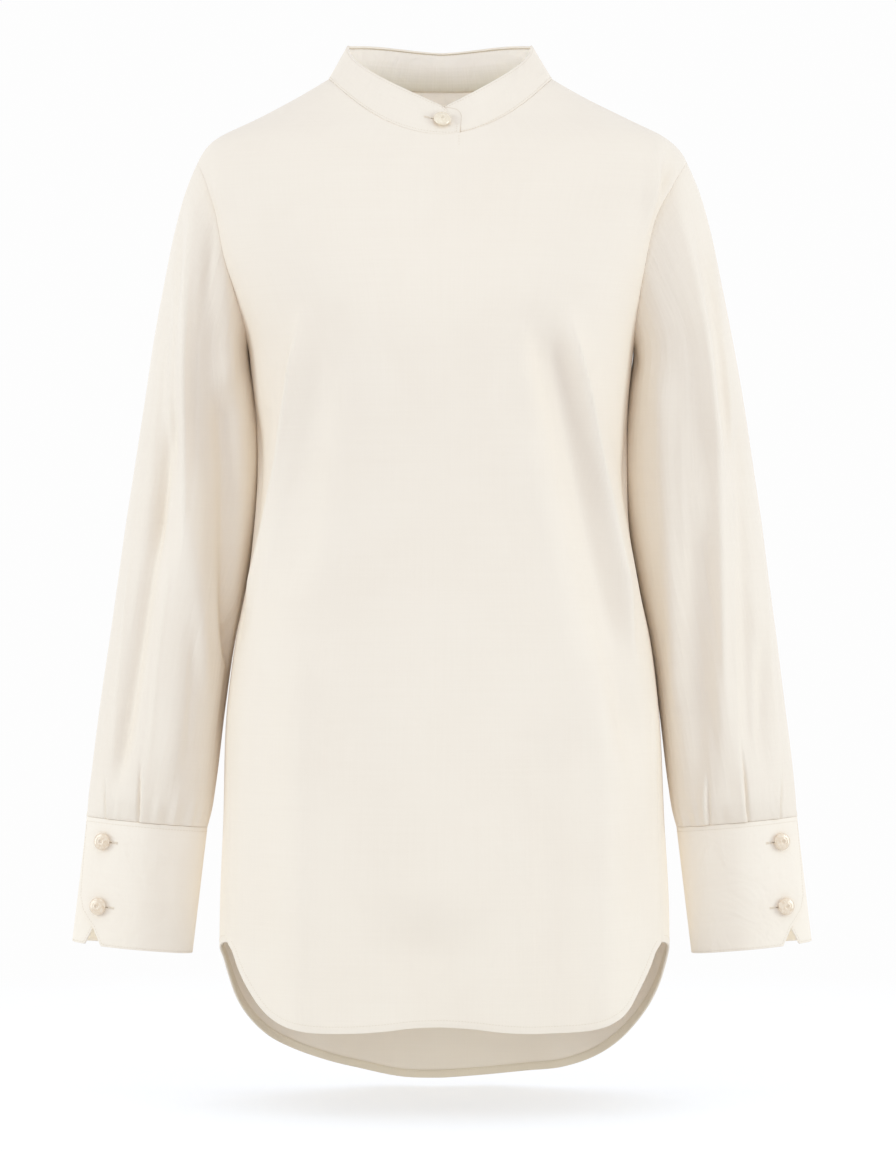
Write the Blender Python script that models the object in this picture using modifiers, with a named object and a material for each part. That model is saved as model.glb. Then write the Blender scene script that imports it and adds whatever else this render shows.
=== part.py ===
"""Mandarin collar shirt: a long, loose shirt in poplin, filled out as when it is worn.

Blender 4.5, metres, +Z up. The front faces -Y, and the wearer's left side is at +X. The origin lies
midway between the two points where the shoulder seams meet the neckline.

Every cloth piece is an open surface with a Solidify wall that grows inwards. The body is one smooth
form, given by a table of its half widths and depths at each height. The panels are cut from it along
the hem, the side and shoulder seams, the armholes and the neckline.
"""

import functools
import math
from bisect import bisect_left

import bmesh
import bpy
import numpy as np
from mathutils import Matrix, Vector

# Walls and clearances
CLOTH = 0.0014
BAND_CLOTH = 0.0018
SEAM_GAP = 0.0004
LAP_GAP = 0.0004
NECK_END_GAP = 0.0007  # the shoulder seam's gap where it meets the neckline

# Body sections: height, half width on the wearer's right (-X) and left (+X), depth to front and back
BODY_COLUMNS = ("height", "right", "left", "front", "back")
BODY_ROWS = (
    (0.012, 0.0720, 0.0700, 0.030, 0.058),
    (0.000, 0.0910, 0.0885, 0.040, 0.065),
    (-0.016, 0.1180, 0.1166, 0.048, 0.072),
    (-0.032, 0.1480, 0.1488, 0.059, 0.079),
    (-0.048, 0.1802, 0.1802, 0.073, 0.085),
    (-0.064, 0.1940, 0.1946, 0.083, 0.090),
    (-0.086, 0.1965, 0.1935, 0.095, 0.096),
    (-0.110, 0.1930, 0.1840, 0.105, 0.101),
    (-0.144, 0.1846, 0.1735, 0.118, 0.105),
    (-0.176, 0.1700, 0.1634, 0.127, 0.107),
    (-0.208, 0.1565, 0.1545, 0.131, 0.107),
    (-0.240, 0.1520, 0.1505, 0.130, 0.105),
    (-0.320, 0.1475, 0.1480, 0.125, 0.101),
    (-0.352, 0.1496, 0.1488, 0.124, 0.101),
    (-0.400, 0.1552, 0.1560, 0.124, 0.103),
    (-0.448, 0.1648, 0.1664, 0.124, 0.106),
    (-0.500, 0.1714, 0.1728, 0.124, 0.109),
    (-0.592, 0.1746, 0.1776, 0.124, 0.112),
    (-0.656, 0.1772, 0.1812, 0.123, 0.114),
    (-0.720, 0.1778, 0.1818, 0.122, 0.114),
    (-0.820, 0.1770, 0.1810, 0.120, 0.112),
)
FULLNESS = 0.92  # below 1, a section is fuller at its corners than an ellipse

# Neckline
NECK_DROP_FRONT = 0.0515
NECK_DROP_BACK = 0.0020

# Armhole, an oval in side view laid on the body
ARMHOLE_MIDDLE = -0.1405
ARMHOLE_HALF_HEIGHT = 0.0740
ARMHOLE_CENTRE_Y = -0.004
ARMHOLE_TO_FRONT = 0.0440
ARMHOLE_TO_BACK = 0.0500

# Side seam: it runs from the armhole down to the notch, and drifts forward on the way
SIDE_NOTCH = -0.6860
SIDE_NOTCH_Y = -0.0420

# Hem: share of the way from the side notch to the middle, and how far the front's hem and the two
# halves of the back's have dropped there
HEM_COLUMNS = ("share", "front", "back_right", "back_left")
HEM_ROWS = (
    (0.00, 0.0000, 0.0000, 0.0000),
    (0.05, 0.0070, 0.0012, 0.0012),
    (0.10, 0.0190, 0.0040, 0.0040),
    (0.18, 0.0355, 0.0105, 0.0112),
    (0.25, 0.0472, 0.0195, 0.0250),
    (0.30, 0.0528, 0.0330, 0.0382),
    (0.36, 0.0573, 0.0515, 0.0535),
    (0.44, 0.0614, 0.0712, 0.0725),
    (0.52, 0.0636, 0.0868, 0.0903),
    (0.60, 0.0645, 0.0976, 0.1038),
    (0.70, 0.0644, 0.1083, 0.1145),
    (0.80, 0.0630, 0.1168, 0.1190),
    (0.92, 0.0602, 0.1254, 0.1240),
    (1.00, 0.0594, 0.1256, 0.1256),
)

# Soft folds of the body. Each is a line from (x, height) to (x, height) that bows by the given
# amount, with its half width and its rise; a fold that sinks has a negative rise.
FOLD_COLUMNS = ("x_top", "top", "x_low", "low", "bow", "width", "rise")
FRONT_FOLDS = (
    (-0.112, -0.195, -0.152, -0.430, -0.004, 0.014, 0.0065),
    (-0.136, -0.215, -0.163, -0.400, -0.004, 0.011, -0.0055),
    (0.104, -0.190, 0.150, -0.400, 0.006, 0.013, 0.0068),
    (0.080, -0.200, 0.148, -0.480, 0.002, 0.015, -0.0078),
    (0.136, -0.230, 0.160, -0.400, 0.004, 0.009, -0.0040),
    (0.170, -0.062, 0.156, -0.130, 0.000, 0.011, 0.0050),
    (-0.180, -0.075, -0.166, -0.150, 0.000, 0.011, 0.0034),
    (-0.118, -0.400, -0.126, -0.820, 0.000, 0.020, -0.0048),
    (-0.148, -0.450, -0.156, -0.820, 0.000, 0.016, 0.0036),
    (0.120, -0.430, 0.116, -0.820, 0.000, 0.020, -0.0052),
    (0.148, -0.440, 0.154, -0.820, 0.000, 0.016, 0.0036),
    (-0.020, -0.560, -0.014, -0.880, 0.000, 0.034, -0.0085),
    (0.070, -0.580, 0.072, -0.880, 0.000, 0.026, 0.0034),
    (-0.076, -0.580, -0.082, -0.880, 0.000, 0.026, 0.0034),
)
BACK_FOLDS = (
    (-0.070, -0.110, -0.094, -0.430, -0.006, 0.016, -0.0045),
    (0.078, -0.100, 0.098, -0.410, 0.005, 0.015, -0.0050),
    (-0.106, -0.180, -0.124, -0.460, -0.004, 0.013, 0.0045),
    (0.108, -0.170, 0.126, -0.440, 0.004, 0.013, 0.0045),
    (0.030, -0.300, 0.040, -0.860, 0.000, 0.026, 0.0040),
    (-0.038, -0.340, -0.046, -0.860, 0.000, 0.026, 0.0040),
    (0.000, -0.420, -0.004, -0.860, 0.000, 0.024, -0.0060),
    (0.086, -0.430, 0.094, -0.860, 0.000, 0.022, -0.0050),
    (-0.092, -0.450, -0.098, -0.860, 0.000, 0.022, -0.0050),
    (0.140, -0.450, 0.146, -0.780, 0.000, 0.018, 0.0030),
    (-0.142, -0.470, -0.146, -0.780, 0.000, 0.018, 0.0030),
)
FOLD_FADE = 0.055  # length over which a fold grows at each end
SEAM_CALM = 0.024  # distance from a seam within which the folds die away

# Sleeve sections: height at the sleeve's axis, distance of the outer edges (each side's own) and of
# the inner edge from the middle of the shirt, half depth, the axis's y, and how much the section
# rises towards its outer edge
SLEEVE_COLUMNS = ("height", "outer_right", "outer_left", "inner", "depth", "centre_y", "slope")
SLEEVE_ROWS = (
    (-0.060, 0.1930, 0.1942, 0.1240, 0.038, -0.002, 0.000),
    (-0.072, 0.1988, 0.2000, 0.1250, 0.042, -0.002, 0.000),
    (-0.088, 0.2050, 0.2064, 0.1270, 0.048, -0.002, 0.000),
    (-0.120, 0.2138, 0.2154, 0.1310, 0.057, 0.000, 0.000),
    (-0.160, 0.2220, 0.2236, 0.1400, 0.062, 0.004, 0.000),
    (-0.210, 0.2312, 0.2334, 0.1570, 0.064, 0.009, 0.000),
    (-0.250, 0.2375, 0.2409, 0.1532, 0.065, 0.014, 0.000),
    (-0.320, 0.2490, 0.2522, 0.1479, 0.062, 0.024, 0.020),
    (-0.352, 0.2540, 0.2570, 0.1500, 0.060, 0.025, 0.030),
    (-0.400, 0.2605, 0.2629, 0.1568, 0.056, 0.023, 0.045),
    (-0.448, 0.2668, 0.2688, 0.1669, 0.052, 0.018, 0.060),
    (-0.500, 0.2738, 0.2746, 0.1742, 0.047, 0.011, 0.075),
    (-0.560, 0.2805, 0.2811, 0.1810, 0.039, 0.000, 0.088),
    (-0.580, 0.2826, 0.2826, 0.1840, 0.033, -0.004, 0.092),
    (-0.5925, 0.2832, 0.2832, 0.1872, 0.0225, -0.006, 0.094),
)
BICEPS = -0.250
CUFF_TOP = -0.5925
CAP_ROWS = 7
ARM_ROWS = 14
ROW_CROWDING = 0.35  # how much closer the sleeve's rows come towards the cuff
SLEEVE_SIDES = 28

# Folds along the sleeve: place round the sleeve at the top and bottom (degrees from the outer edge
# towards the front), the heights between which it runs, its half width in degrees, and its rise
SLEEVE_FOLD_COLUMNS = ("turn_top", "top", "turn_low", "low", "width", "rise")
SLEEVE_FOLDS_RIGHT = (
    (62, -0.070, 84, -0.570, 11, 0.0040),
    (38, -0.200, 60, -0.560, 10, -0.0035),
    (104, -0.130, 112, -0.420, 11, -0.0060),
    (112, -0.400, 150, -0.560, 11, -0.0060),
    (138, -0.190, 146, -0.430, 11, 0.0040),
    (20, -0.240, 30, -0.560, 10, 0.0020),
    (250, -0.110, 268, -0.560, 13, 0.0040),
    (285, -0.160, 296, -0.540, 13, -0.0045),
    (222, -0.200, 214, -0.520, 13, -0.0040),
)
SLEEVE_FOLDS_LEFT = (
    (46, -0.080, 92, -0.570, 10, 0.0040),
    (24, -0.180, 52, -0.560, 11, -0.0040),
    (88, -0.100, 112, -0.430, 12, -0.0045),
    (114, -0.400, 146, -0.560, 11, -0.0055),
    (128, -0.240, 140, -0.450, 11, 0.0040),
    (254, -0.120, 262, -0.560, 13, 0.0042),
    (290, -0.180, 300, -0.540, 13, -0.0045),
    (224, -0.190, 218, -0.500, 13, -0.0040),
)
SLEEVE_FOLD_FADE = 0.050

# Pleats into the cuff: the sleeve column that its folded edge lies on, its length, and its rise
PLEAT_COLUMNS = ("column", "length", "rise")
PLEATS_RIGHT = (
    (3, 0.040, 0.0026),
    (6, 0.056, 0.0030),
    (8, 0.024, 0.0020),
    (10, 0.022, 0.0020),
    (20, 0.050, 0.0028),
    (23, 0.040, 0.0026),
)
PLEATS_LEFT = (
    (3, 0.042, 0.0026),
    (6, 0.074, 0.0032),
    (9, 0.044, 0.0028),
    (20, 0.050, 0.0028),
    (23, 0.040, 0.0026),
)

# A pleat's folded edge stands up on its own column, with a dip on the column just beyond it.
PLEAT_SHAPE = {-1: 0.35, 0: 1.0, 1: -0.7}

# Cuff: a band wrapped round the wrist. Its ends are given in degrees from the outer edge at shares
# of its height, the lap's end first and the hidden end under it second.
CUFF_HEIGHT = 0.1003
CUFF_DRIFT = 0.0120
CUFF_SLOPE_LOW = 0.100
CUFF_DEPTH = 0.0225
CUFF_BOTTOM_DEPTH = 0.0235
CUFF_END_COLUMNS = ("share", "lap", "under")
CUFF_END_ROWS = (
    (0.00, 17.0, 76.0),
    (0.35, 20.0, 76.0),
    (0.62, 24.0, 72.0),
    (0.72, 31.0, 66.0),
    (0.845, 49.5, 50.5),
    (1.00, 62.0, 39.5),
)
CUFF_SIDES = 34
CUFF_LAP_SETTLES = 84.0  # the turn at which the lap starts to come down to the band's own form
CUFF_LAP_BLEND = 40.0
CUFF_BUTTON_COLUMNS = ("place", "turn", "share")
CUFF_BUTTON_ROWS = (
    ("upper", 51.0, 0.18),
    ("lower", 55.0, 0.69),
)

# Collar band: its foot is the neckline, and its top edge leans inwards
BAND_TOP_HALF_RIGHT = 0.0754
BAND_TOP_HALF_LEFT = 0.0718
BAND_TOP_SIDE = 0.0280
BAND_TOP_BACK = 0.0293
BAND_TOP_FLARE = 0.0036  # how much higher the top edge stands between its side and back
BAND_TOP_DROP = 0.0550
BAND_TOP_FRONT_Y = -0.0580
BAND_TOP_BACK_Y = 0.0590
BAND_GAP = 0.0006
BAND_LAP = 10.0  # degrees that each end of the band runs past the middle of the front
BAND_LAP_SETTLES = 12.0  # the turn at which the hidden end starts to come out to the band's own form
BAND_LAP_BLEND = 38.0
BAND_ROWS = 3
BAND_CORNER = 3.2  # degrees of the neckline that the lap's rounded top corner takes up
BAND_CORNER_CUT = 0.24  # share of the band's width that the corner loses at its end
BAND_BUTTON_SHARE = 0.46

# Pearl buttons, turned: the steps of the profile from the crown down
BUTTON_COLUMNS = ("radius", "height")
BUTTON_PROFILE = (
    (0.0000, 0.00460),
    (0.0030, 0.00430),
    (0.0056, 0.00340),
    (0.0069, 0.00230),
    (0.0066, 0.00150),
    (0.0024, 0.00120),
    (0.0022, 0.00000),
    (0.0000, 0.00000),
)
BUTTON_STEPS = 16
BUTTON_SEAT = 0.0004

# Panel meshes. Pieces that meet at a seam have the same number of points along it.
NECK_COLUMNS_FRONT = 18
NECK_COLUMNS_BACK = 14
SHOULDER_COLUMNS = 6
SIDE_SEAM_ROWS = 14
ARMHOLE_ROWS = SLEEVE_SIDES // 2
EDGE_STRIP = 0.0016
SMALL_TURN = 1.0  # steps over which slopes are taken: degrees, metres and a share of a height
SMALL_RISE = 0.004
SMALL_SHARE = 0.02
RELAX_ROUNDS = 8
RELAX_STEPS = 8

COLLECTION = "mandarin_collar_shirt"
POPLIN = (0.880, 0.830, 0.760, 1.0)
BAND_POPLIN = (0.900, 0.845, 0.770, 1.0)
PEARL = (0.830, 0.760, 0.640, 1.0)


@functools.lru_cache(maxsize=None)
def curve(columns, rows, name):
    """Places, values and slopes of the named column, in rising order of place."""
    ordered = sorted(rows)
    places = [row[0] for row in ordered]
    values = [row[columns.index(name)] for row in ordered]
    return places, values, [float(slope) for slope in np.gradient(values, places)]


def smooth_column(columns, rows, name, at):
    """The named column's value at `at`, a place in the first column, on a smooth curve."""
    places, values, slopes = curve(columns, rows, name)
    left = min(max(bisect_left(places, at) - 1, 0), len(places) - 2)
    span = places[left + 1] - places[left]
    share = min(max((at - places[left]) / span, 0.0), 1.0)
    rest = 1.0 - share
    return (
        values[left] * rest * rest * (1.0 + 2.0 * share)
        + values[left + 1] * share * share * (3.0 - 2.0 * share)
        + slopes[left] * span * share * rest * rest
        - slopes[left + 1] * span * share * share * rest
    )


def mix(first, second, share):
    return first + (second - first) * share


def ease(share):
    """0 to 1 with a level start and end."""
    share = min(max(share, 0.0), 1.0)
    return share * share * (3.0 - 2.0 * share)


def hump(offset, width):
    """A soft bump: 1 at no offset, almost 0 at twice the width."""
    return math.exp(-((offset / width) ** 2))


# ---------------------------------------------------------------- the body's form


def section(height, name):
    return smooth_column(BODY_COLUMNS, BODY_ROWS, name, height)


def half_width(side, height):
    return section(height, "left" if side > 0 else "right")


def depth(forward, height):
    return section(height, "front" if forward else "back")


def body_point(turn, height):
    """A point of the body's form: turn is 0 at the middle of the front and 90 at +X, in degrees."""
    across = math.sin(math.radians(turn))
    ahead = math.cos(math.radians(turn))
    x = half_width(across, height) * abs(across) ** FULLNESS * math.copysign(1.0, across)
    y = -depth(ahead > 0, height) * abs(ahead) ** FULLNESS * math.copysign(1.0, ahead)
    return Vector((x, y, height))


def body_point_beside(side, y, height):
    """The body's point at this y and height, on the side of +X (side 1) or -X (side -1)."""
    share = min(abs(y) / depth(y < 0, height), 1.0)
    across = (1.0 - share ** (2.0 / FULLNESS)) ** (FULLNESS / 2.0)
    return Vector((side * half_width(side, height) * across, y, height))


def body_point_across(x, height, forward):
    """The body's point at this x and height, on its front or its back."""
    share = min(abs(x) / half_width(x, height), 1.0)
    ahead = (1.0 - share ** (2.0 / FULLNESS)) ** (FULLNESS / 2.0)
    return Vector((x, (-1 if forward else 1) * depth(forward, height) * ahead, height))


def turn_of(point):
    """The turn at which the body's form passes nearest to this point."""
    across = abs(point.x / half_width(point.x, point.z)) ** (1.0 / FULLNESS)
    ahead = abs(point.y / depth(point.y < 0, point.z)) ** (1.0 / FULLNESS)
    return math.degrees(math.atan2(math.copysign(across, point.x), math.copysign(ahead, -point.y)))


def body_normal(turn, height):
    round_it = body_point(turn + SMALL_TURN, height) - body_point(turn - SMALL_TURN, height)
    up_it = body_point(turn, height + SMALL_RISE) - body_point(turn, height - SMALL_RISE)
    return round_it.cross(up_it).normalized()


def fold_rise(folds, x, height):
    """How far the folds lift the cloth at this place."""
    rise = 0.0
    for fold in folds:
        row = dict(zip(FOLD_COLUMNS, fold))
        share = (row["top"] - height) / (row["top"] - row["low"])
        held = min(max(share, 0.0), 1.0)
        middle = mix(row["x_top"], row["x_low"], held) + row["bow"] * math.sin(math.pi * held)
        beyond = max(height - row["top"], row["low"] - height, 0.0)
        inside = min(row["top"] - height, height - row["low"])
        strength = ease(inside / FOLD_FADE) if beyond == 0.0 else 0.0
        rise += row["rise"] * strength * hump(x - middle, row["width"])
    return rise


def on_form(point):
    """This point moved onto the body's form at its own height."""
    return body_point(turn_of(point), point.z)


def lifted(point, folds, seams):
    """This point of the form lifted by the folds, which die away towards the seams."""
    calm = ease(min((point - seam).length for seam in seams) / SEAM_CALM)
    rise = fold_rise(folds, point.x, point.z) * calm
    return point + body_normal(turn_of(point), point.z) * rise


# ---------------------------------------------------------------- the panels' edges


def armhole_point(side, turn, smaller=0.0):
    """The armhole: turn 0 is at the shoulder, 90 at the front and 180 under the arm."""
    angle = math.radians(turn)
    height = ARMHOLE_MIDDLE + (ARMHOLE_HALF_HEIGHT - smaller) * math.cos(angle)
    reach = ARMHOLE_TO_FRONT if math.sin(angle) > 0 else ARMHOLE_TO_BACK
    y = ARMHOLE_CENTRE_Y - (reach - smaller) * math.sin(angle)
    return body_point_beside(side, y, height)


def side_seam_point(side, share, forward):
    """From the notch in the hem, share 0, up to the armhole, share 1."""
    armpit = ARMHOLE_MIDDLE - ARMHOLE_HALF_HEIGHT
    y = mix(SIDE_NOTCH_Y, ARMHOLE_CENTRE_Y, ease(share))
    gap = SEAM_GAP / 2.0
    return body_point_beside(side, y - gap if forward else y + gap, mix(SIDE_NOTCH, armpit, share))


def shoulder_seam_point(side, share, forward):
    """From the armhole, share 0, to the neckline, share 1."""
    top = ARMHOLE_MIDDLE + ARMHOLE_HALF_HEIGHT
    y = mix(ARMHOLE_CENTRE_Y, 0.0, share)
    gap = mix(SEAM_GAP, NECK_END_GAP, share) / 2.0
    return body_point_beside(side, y - gap if forward else y + gap, mix(top, 0.0, share))


def neckline_point(turn):
    """The neckline, at a turn from the middle of the front: 90 is the +X side and 180 the back."""
    across = math.sin(math.radians(turn))
    ahead = math.cos(math.radians(turn))
    drop = NECK_DROP_FRONT if ahead > 0 else NECK_DROP_BACK
    return body_point_across(half_width(across, 0.0) * across, -drop * ahead * ahead, ahead > 0)


def hem_point(forward, share):
    """The hem of one panel, from the -X side, share 0, to the +X side, share 1."""
    start, end = (side_seam_point(side, 0.0, forward) for side in (-1, 1))
    turn_start, turn_end = turn_of(start), turn_of(end)
    if not forward:
        turn_start += 360.0
    turn = mix(turn_start, turn_end, share)
    inward = 1.0 - abs(2.0 * share - 1.0)
    back = "back_left" if share > 0.5 else "back_right"
    drop = smooth_column(HEM_COLUMNS, HEM_ROWS, "front" if forward else back, inward)
    return body_point(turn, SIDE_NOTCH - drop)


def neck_columns(forward):
    return NECK_COLUMNS_FRONT if forward else NECK_COLUMNS_BACK


def top_point(forward, share):
    """A panel's top edge, from the -X shoulder tip along the neckline to the +X one."""
    column = round(share * (neck_columns(forward) + 2 * SHOULDER_COLUMNS), 4)
    past_neck = column - SHOULDER_COLUMNS - neck_columns(forward)
    if column <= SHOULDER_COLUMNS:
        return shoulder_seam_point(-1, column / SHOULDER_COLUMNS, forward)
    if past_neck >= 0:
        return shoulder_seam_point(1, 1.0 - past_neck / SHOULDER_COLUMNS, forward)
    turn = 180.0 * (column - SHOULDER_COLUMNS) / neck_columns(forward) - 90.0
    return neckline_point(turn if forward else 180.0 - turn)


def side_point(side, share, forward):
    """A panel's side edge, from the notch up the side seam and round the armhole to its top."""
    seam_share = SIDE_SEAM_ROWS / (SIDE_SEAM_ROWS + ARMHOLE_ROWS)
    if share <= seam_share:
        return side_seam_point(side, share / seam_share, forward)
    turn = 180.0 * (1.0 - (share - seam_share) / (1.0 - seam_share))
    point = armhole_point(side, turn if forward else -turn)
    gap = SEAM_GAP / 2.0
    near_seam = 1.0 - math.sin(math.radians(turn))
    y = point.y + (-gap if forward else gap) * near_seam
    return body_point_beside(side, y, point.z)


def seam_points(forward):
    """Points along a panel's sewn edges, which are all its edges but the hem."""
    rows, columns = SIDE_SEAM_ROWS + ARMHOLE_ROWS, neck_columns(forward) + 2 * SHOULDER_COLUMNS
    sides = [side_point(side, row / rows, forward) for side in (-1, 1) for row in range(rows)]
    return sides + [top_point(forward, column / columns) for column in range(columns + 1)]


def panel_point(forward, across, up):
    """A point inside the four edges of a panel, blended from them and laid on the body's form."""
    low, high = hem_point(forward, across), top_point(forward, across)
    right, left = side_point(-1, up, forward), side_point(1, up, forward)
    corners = (
        mix(hem_point(forward, 0.0), hem_point(forward, 1.0), across),
        mix(top_point(forward, 0.0), top_point(forward, 1.0), across),
    )
    blended = mix(low, high, up) + mix(right, left, across) - mix(*corners, up)
    return on_form(blended)


# ---------------------------------------------------------------- making objects


def clear_scene():
    for obj in list(bpy.data.objects):
        bpy.data.objects.remove(obj, do_unlink=True)


def finish_material(name, colour, roughness):
    material = bpy.data.materials.new(name)
    material.use_nodes = True
    shader = material.node_tree.nodes["Principled BSDF"]
    shader.inputs["Base Color"].default_value = colour
    shader.inputs["Roughness"].default_value = roughness
    shader.inputs["Metallic"].default_value = 0.0
    return material


def add_object(name, mesh, collection, material):
    mesh.shade_smooth()
    mesh.materials.append(material)
    obj = bpy.data.objects.new(name, mesh)
    collection.objects.link(obj)
    return obj


def placed_grid(columns, rows, place):
    """A grid of quads whose vertices are set by place(across, up), both from 0 to 1."""
    builder = bmesh.new()
    bmesh.ops.create_grid(builder, x_segments=columns, y_segments=rows, size=0.5)
    for vertex in builder.verts:
        vertex.co = place(vertex.co.x + 0.5, vertex.co.y + 0.5)
    return builder


def walled_object(name, builder, wall, inside_out, collection, material):
    """The open surface made an object, with a wall that grows inwards from it."""
    if inside_out:
        bmesh.ops.reverse_faces(builder, faces=builder.faces)
    mesh = bpy.data.meshes.new(name)
    builder.to_mesh(mesh)
    builder.free()
    obj = add_object(name, mesh, collection, material)
    walls = obj.modifiers.new("wall", "SOLIDIFY")
    walls.thickness = wall
    walls.offset = -1.0
    walls.use_quality_normals = True
    return obj


def add_panel(name, forward, collection, material):
    """The front or the back: an even grid between its edges, with a narrow strip along them."""
    columns = neck_columns(forward) + 2 * SHOULDER_COLUMNS
    rows = SIDE_SEAM_ROWS + ARMHOLE_ROWS
    builder = placed_grid(columns, rows, functools.partial(panel_point, forward))
    inner = [vertex for vertex in builder.verts if not vertex.is_boundary]
    for _ in range(RELAX_ROUNDS):
        for _ in range(RELAX_STEPS):
            bmesh.ops.smooth_vert(
                builder, verts=inner, factor=0.5, use_axis_x=True, use_axis_y=True, use_axis_z=True
            )
        for vertex in inner:
            vertex.co = on_form(vertex.co)
    bmesh.ops.inset_region(
        builder, faces=builder.faces[:], thickness=EDGE_STRIP, use_boundary=True, use_even_offset=True
    )
    seams = seam_points(forward)
    folds = FRONT_FOLDS if forward else BACK_FOLDS
    for vertex in builder.verts:
        vertex.co = lifted(on_form(vertex.co), folds, seams)
    walled_object(name, builder, CLOTH, not forward, collection, material)


# ---------------------------------------------------------------- sleeves and cuffs


def sleeve_section(height, name):
    return smooth_column(SLEEVE_COLUMNS, SLEEVE_ROWS, name, height)


def sleeve_outer(side, height):
    return sleeve_section(height, "outer_left" if side > 0 else "outer_right")


def sleeve_ring_point(side, turn, height, lift=0.0):
    """A point of the sleeve's plain section: turn 0 is at its outer edge and 90 at its front."""
    outer, inner = sleeve_outer(side, height), sleeve_section(height, "inner")
    angle = math.radians(turn)
    out = ((outer - inner) / 2.0 + lift) * math.cos(angle)
    deep = (sleeve_section(height, "depth") + lift) * math.sin(angle)
    y = sleeve_section(height, "centre_y") - deep
    rise = sleeve_section(height, "slope") * out
    return Vector((side * ((outer + inner) / 2.0 + out), y, height + rise))


def sleeve_lift(folds, pleats, turn, height):
    """How far folds and pleats lift the sleeve's cloth at this turn and height."""
    lift = 0.0
    for fold in folds:
        row = dict(zip(SLEEVE_FOLD_COLUMNS, fold))
        share = min(max((row["top"] - height) / (row["top"] - row["low"]), 0.0), 1.0)
        offset = (turn - mix(row["turn_top"], row["turn_low"], share) + 180.0) % 360.0 - 180.0
        inside = min(row["top"] - height, height - row["low"])
        lift += row["rise"] * ease(inside / SLEEVE_FOLD_FADE) * hump(offset, row["width"])
    column_turn = 360.0 / SLEEVE_SIDES
    for pleat in pleats:
        row = dict(zip(PLEAT_COLUMNS, pleat))
        shape = PLEAT_SHAPE.get(round(turn / column_turn) - row["column"], 0.0)
        lift += row["rise"] * shape * ease((CUFF_TOP + row["length"] - height) / row["length"])
    return lift


def sleeve_point(side, folds, pleats, across, up):
    """across runs round the sleeve and up from the cuff, 0, to the armhole, 1."""
    turn = 360.0 * across
    cap_share = CAP_ROWS / (CAP_ROWS + ARM_ROWS)
    top = armhole_point(side, turn, smaller=SEAM_GAP)
    if up < 1.0 - cap_share:
        share = up / (1.0 - cap_share)
        height = mix(CUFF_TOP, BICEPS, mix(share, share * share, ROW_CROWDING))
        held = 0.0
    else:
        share = (up - (1.0 - cap_share)) / cap_share
        height = mix(BICEPS, top.z, share)
        held = share * share
    cuff_clear = SEAM_GAP if up == 0.0 else 0.0
    at_top = top - sleeve_ring_point(side, turn, top.z)
    lift = sleeve_lift(folds, pleats, turn, height) * (1.0 - held)
    point = sleeve_ring_point(side, turn, height, lift)
    return point + at_top * held + Vector((0.0, 0.0, cuff_clear))


def add_sleeve(side, word, collection, material):
    folds, pleats = (
        (SLEEVE_FOLDS_LEFT, PLEATS_LEFT) if side > 0 else (SLEEVE_FOLDS_RIGHT, PLEATS_RIGHT)
    )
    place = functools.partial(sleeve_point, side, folds, pleats)
    builder = placed_grid(SLEEVE_SIDES, CAP_ROWS + ARM_ROWS, place)
    bmesh.ops.remove_doubles(builder, verts=builder.verts, dist=1e-6)
    walled_object(f"sleeve_{word}", builder, CLOTH, side > 0, collection, material)


def cuff_ring_point(side, turn, share, lift=0.0):
    """A point of the cuff's form; share is 0 at its seam with the sleeve and 1 at its edge."""
    outer, inner = sleeve_outer(side, CUFF_TOP), sleeve_section(CUFF_TOP, "inner")
    angle = math.radians(turn)
    out = ((outer - inner) / 2.0 + lift) * math.cos(angle)
    middle = (outer + inner) / 2.0 + CUFF_DRIFT * share
    y = sleeve_section(CUFF_TOP, "centre_y")
    y -= (mix(CUFF_DEPTH, CUFF_BOTTOM_DEPTH, share) + lift) * math.sin(angle)
    slope = mix(sleeve_section(CUFF_TOP, "slope"), CUFF_SLOPE_LOW, share)
    height = CUFF_TOP - CUFF_HEIGHT * share + slope * out
    return Vector((side * (middle + out), y, height))


def cuff_end(share, name):
    shares = [row[0] for row in CUFF_END_ROWS]
    turns = [row[CUFF_END_COLUMNS.index(name)] for row in CUFF_END_ROWS]
    return float(np.interp(share, shares, turns))


def cuff_lap_lift(turn):
    """The lap rides over the hidden end; past it the band comes back down to its own form."""
    over = BAND_CLOTH + LAP_GAP
    return over * (1.0 - ease((turn - CUFF_LAP_SETTLES) / CUFF_LAP_BLEND))


def cuff_point(side, across, up):
    rows = [row[0] for row in CUFF_END_ROWS]
    place = (1.0 - up) * (len(rows) - 1)
    share = float(np.interp(place, range(len(rows)), rows))
    turn = mix(cuff_end(share, "lap"), 360.0 + cuff_end(share, "under"), across)
    return cuff_ring_point(side, turn, share, cuff_lap_lift(turn))


def add_cuff(side, word, collection, material):
    builder = placed_grid(CUFF_SIDES, len(CUFF_END_ROWS) - 1, functools.partial(cuff_point, side))
    walled_object(f"cuff_{word}", builder, BAND_CLOTH, side > 0, collection, material)


# ---------------------------------------------------------------- collar band


def band_turns():
    """The turns of the band's columns, from the hidden end to the lap, matched to the panels'."""
    front_step, back_step = 180.0 / NECK_COLUMNS_FRONT, 180.0 / NECK_COLUMNS_BACK
    turns = list(np.arange(-BAND_LAP, 90.0 - front_step / 2.0, front_step))
    turns += list(np.arange(90.0, 270.0 - back_step / 2.0, back_step))
    turns += list(np.arange(270.0, 360.0 + front_step / 2.0, front_step))
    end = 360.0 + BAND_LAP
    return turns + [end - BAND_CORNER, end - BAND_CORNER / 3.0, end]


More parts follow.
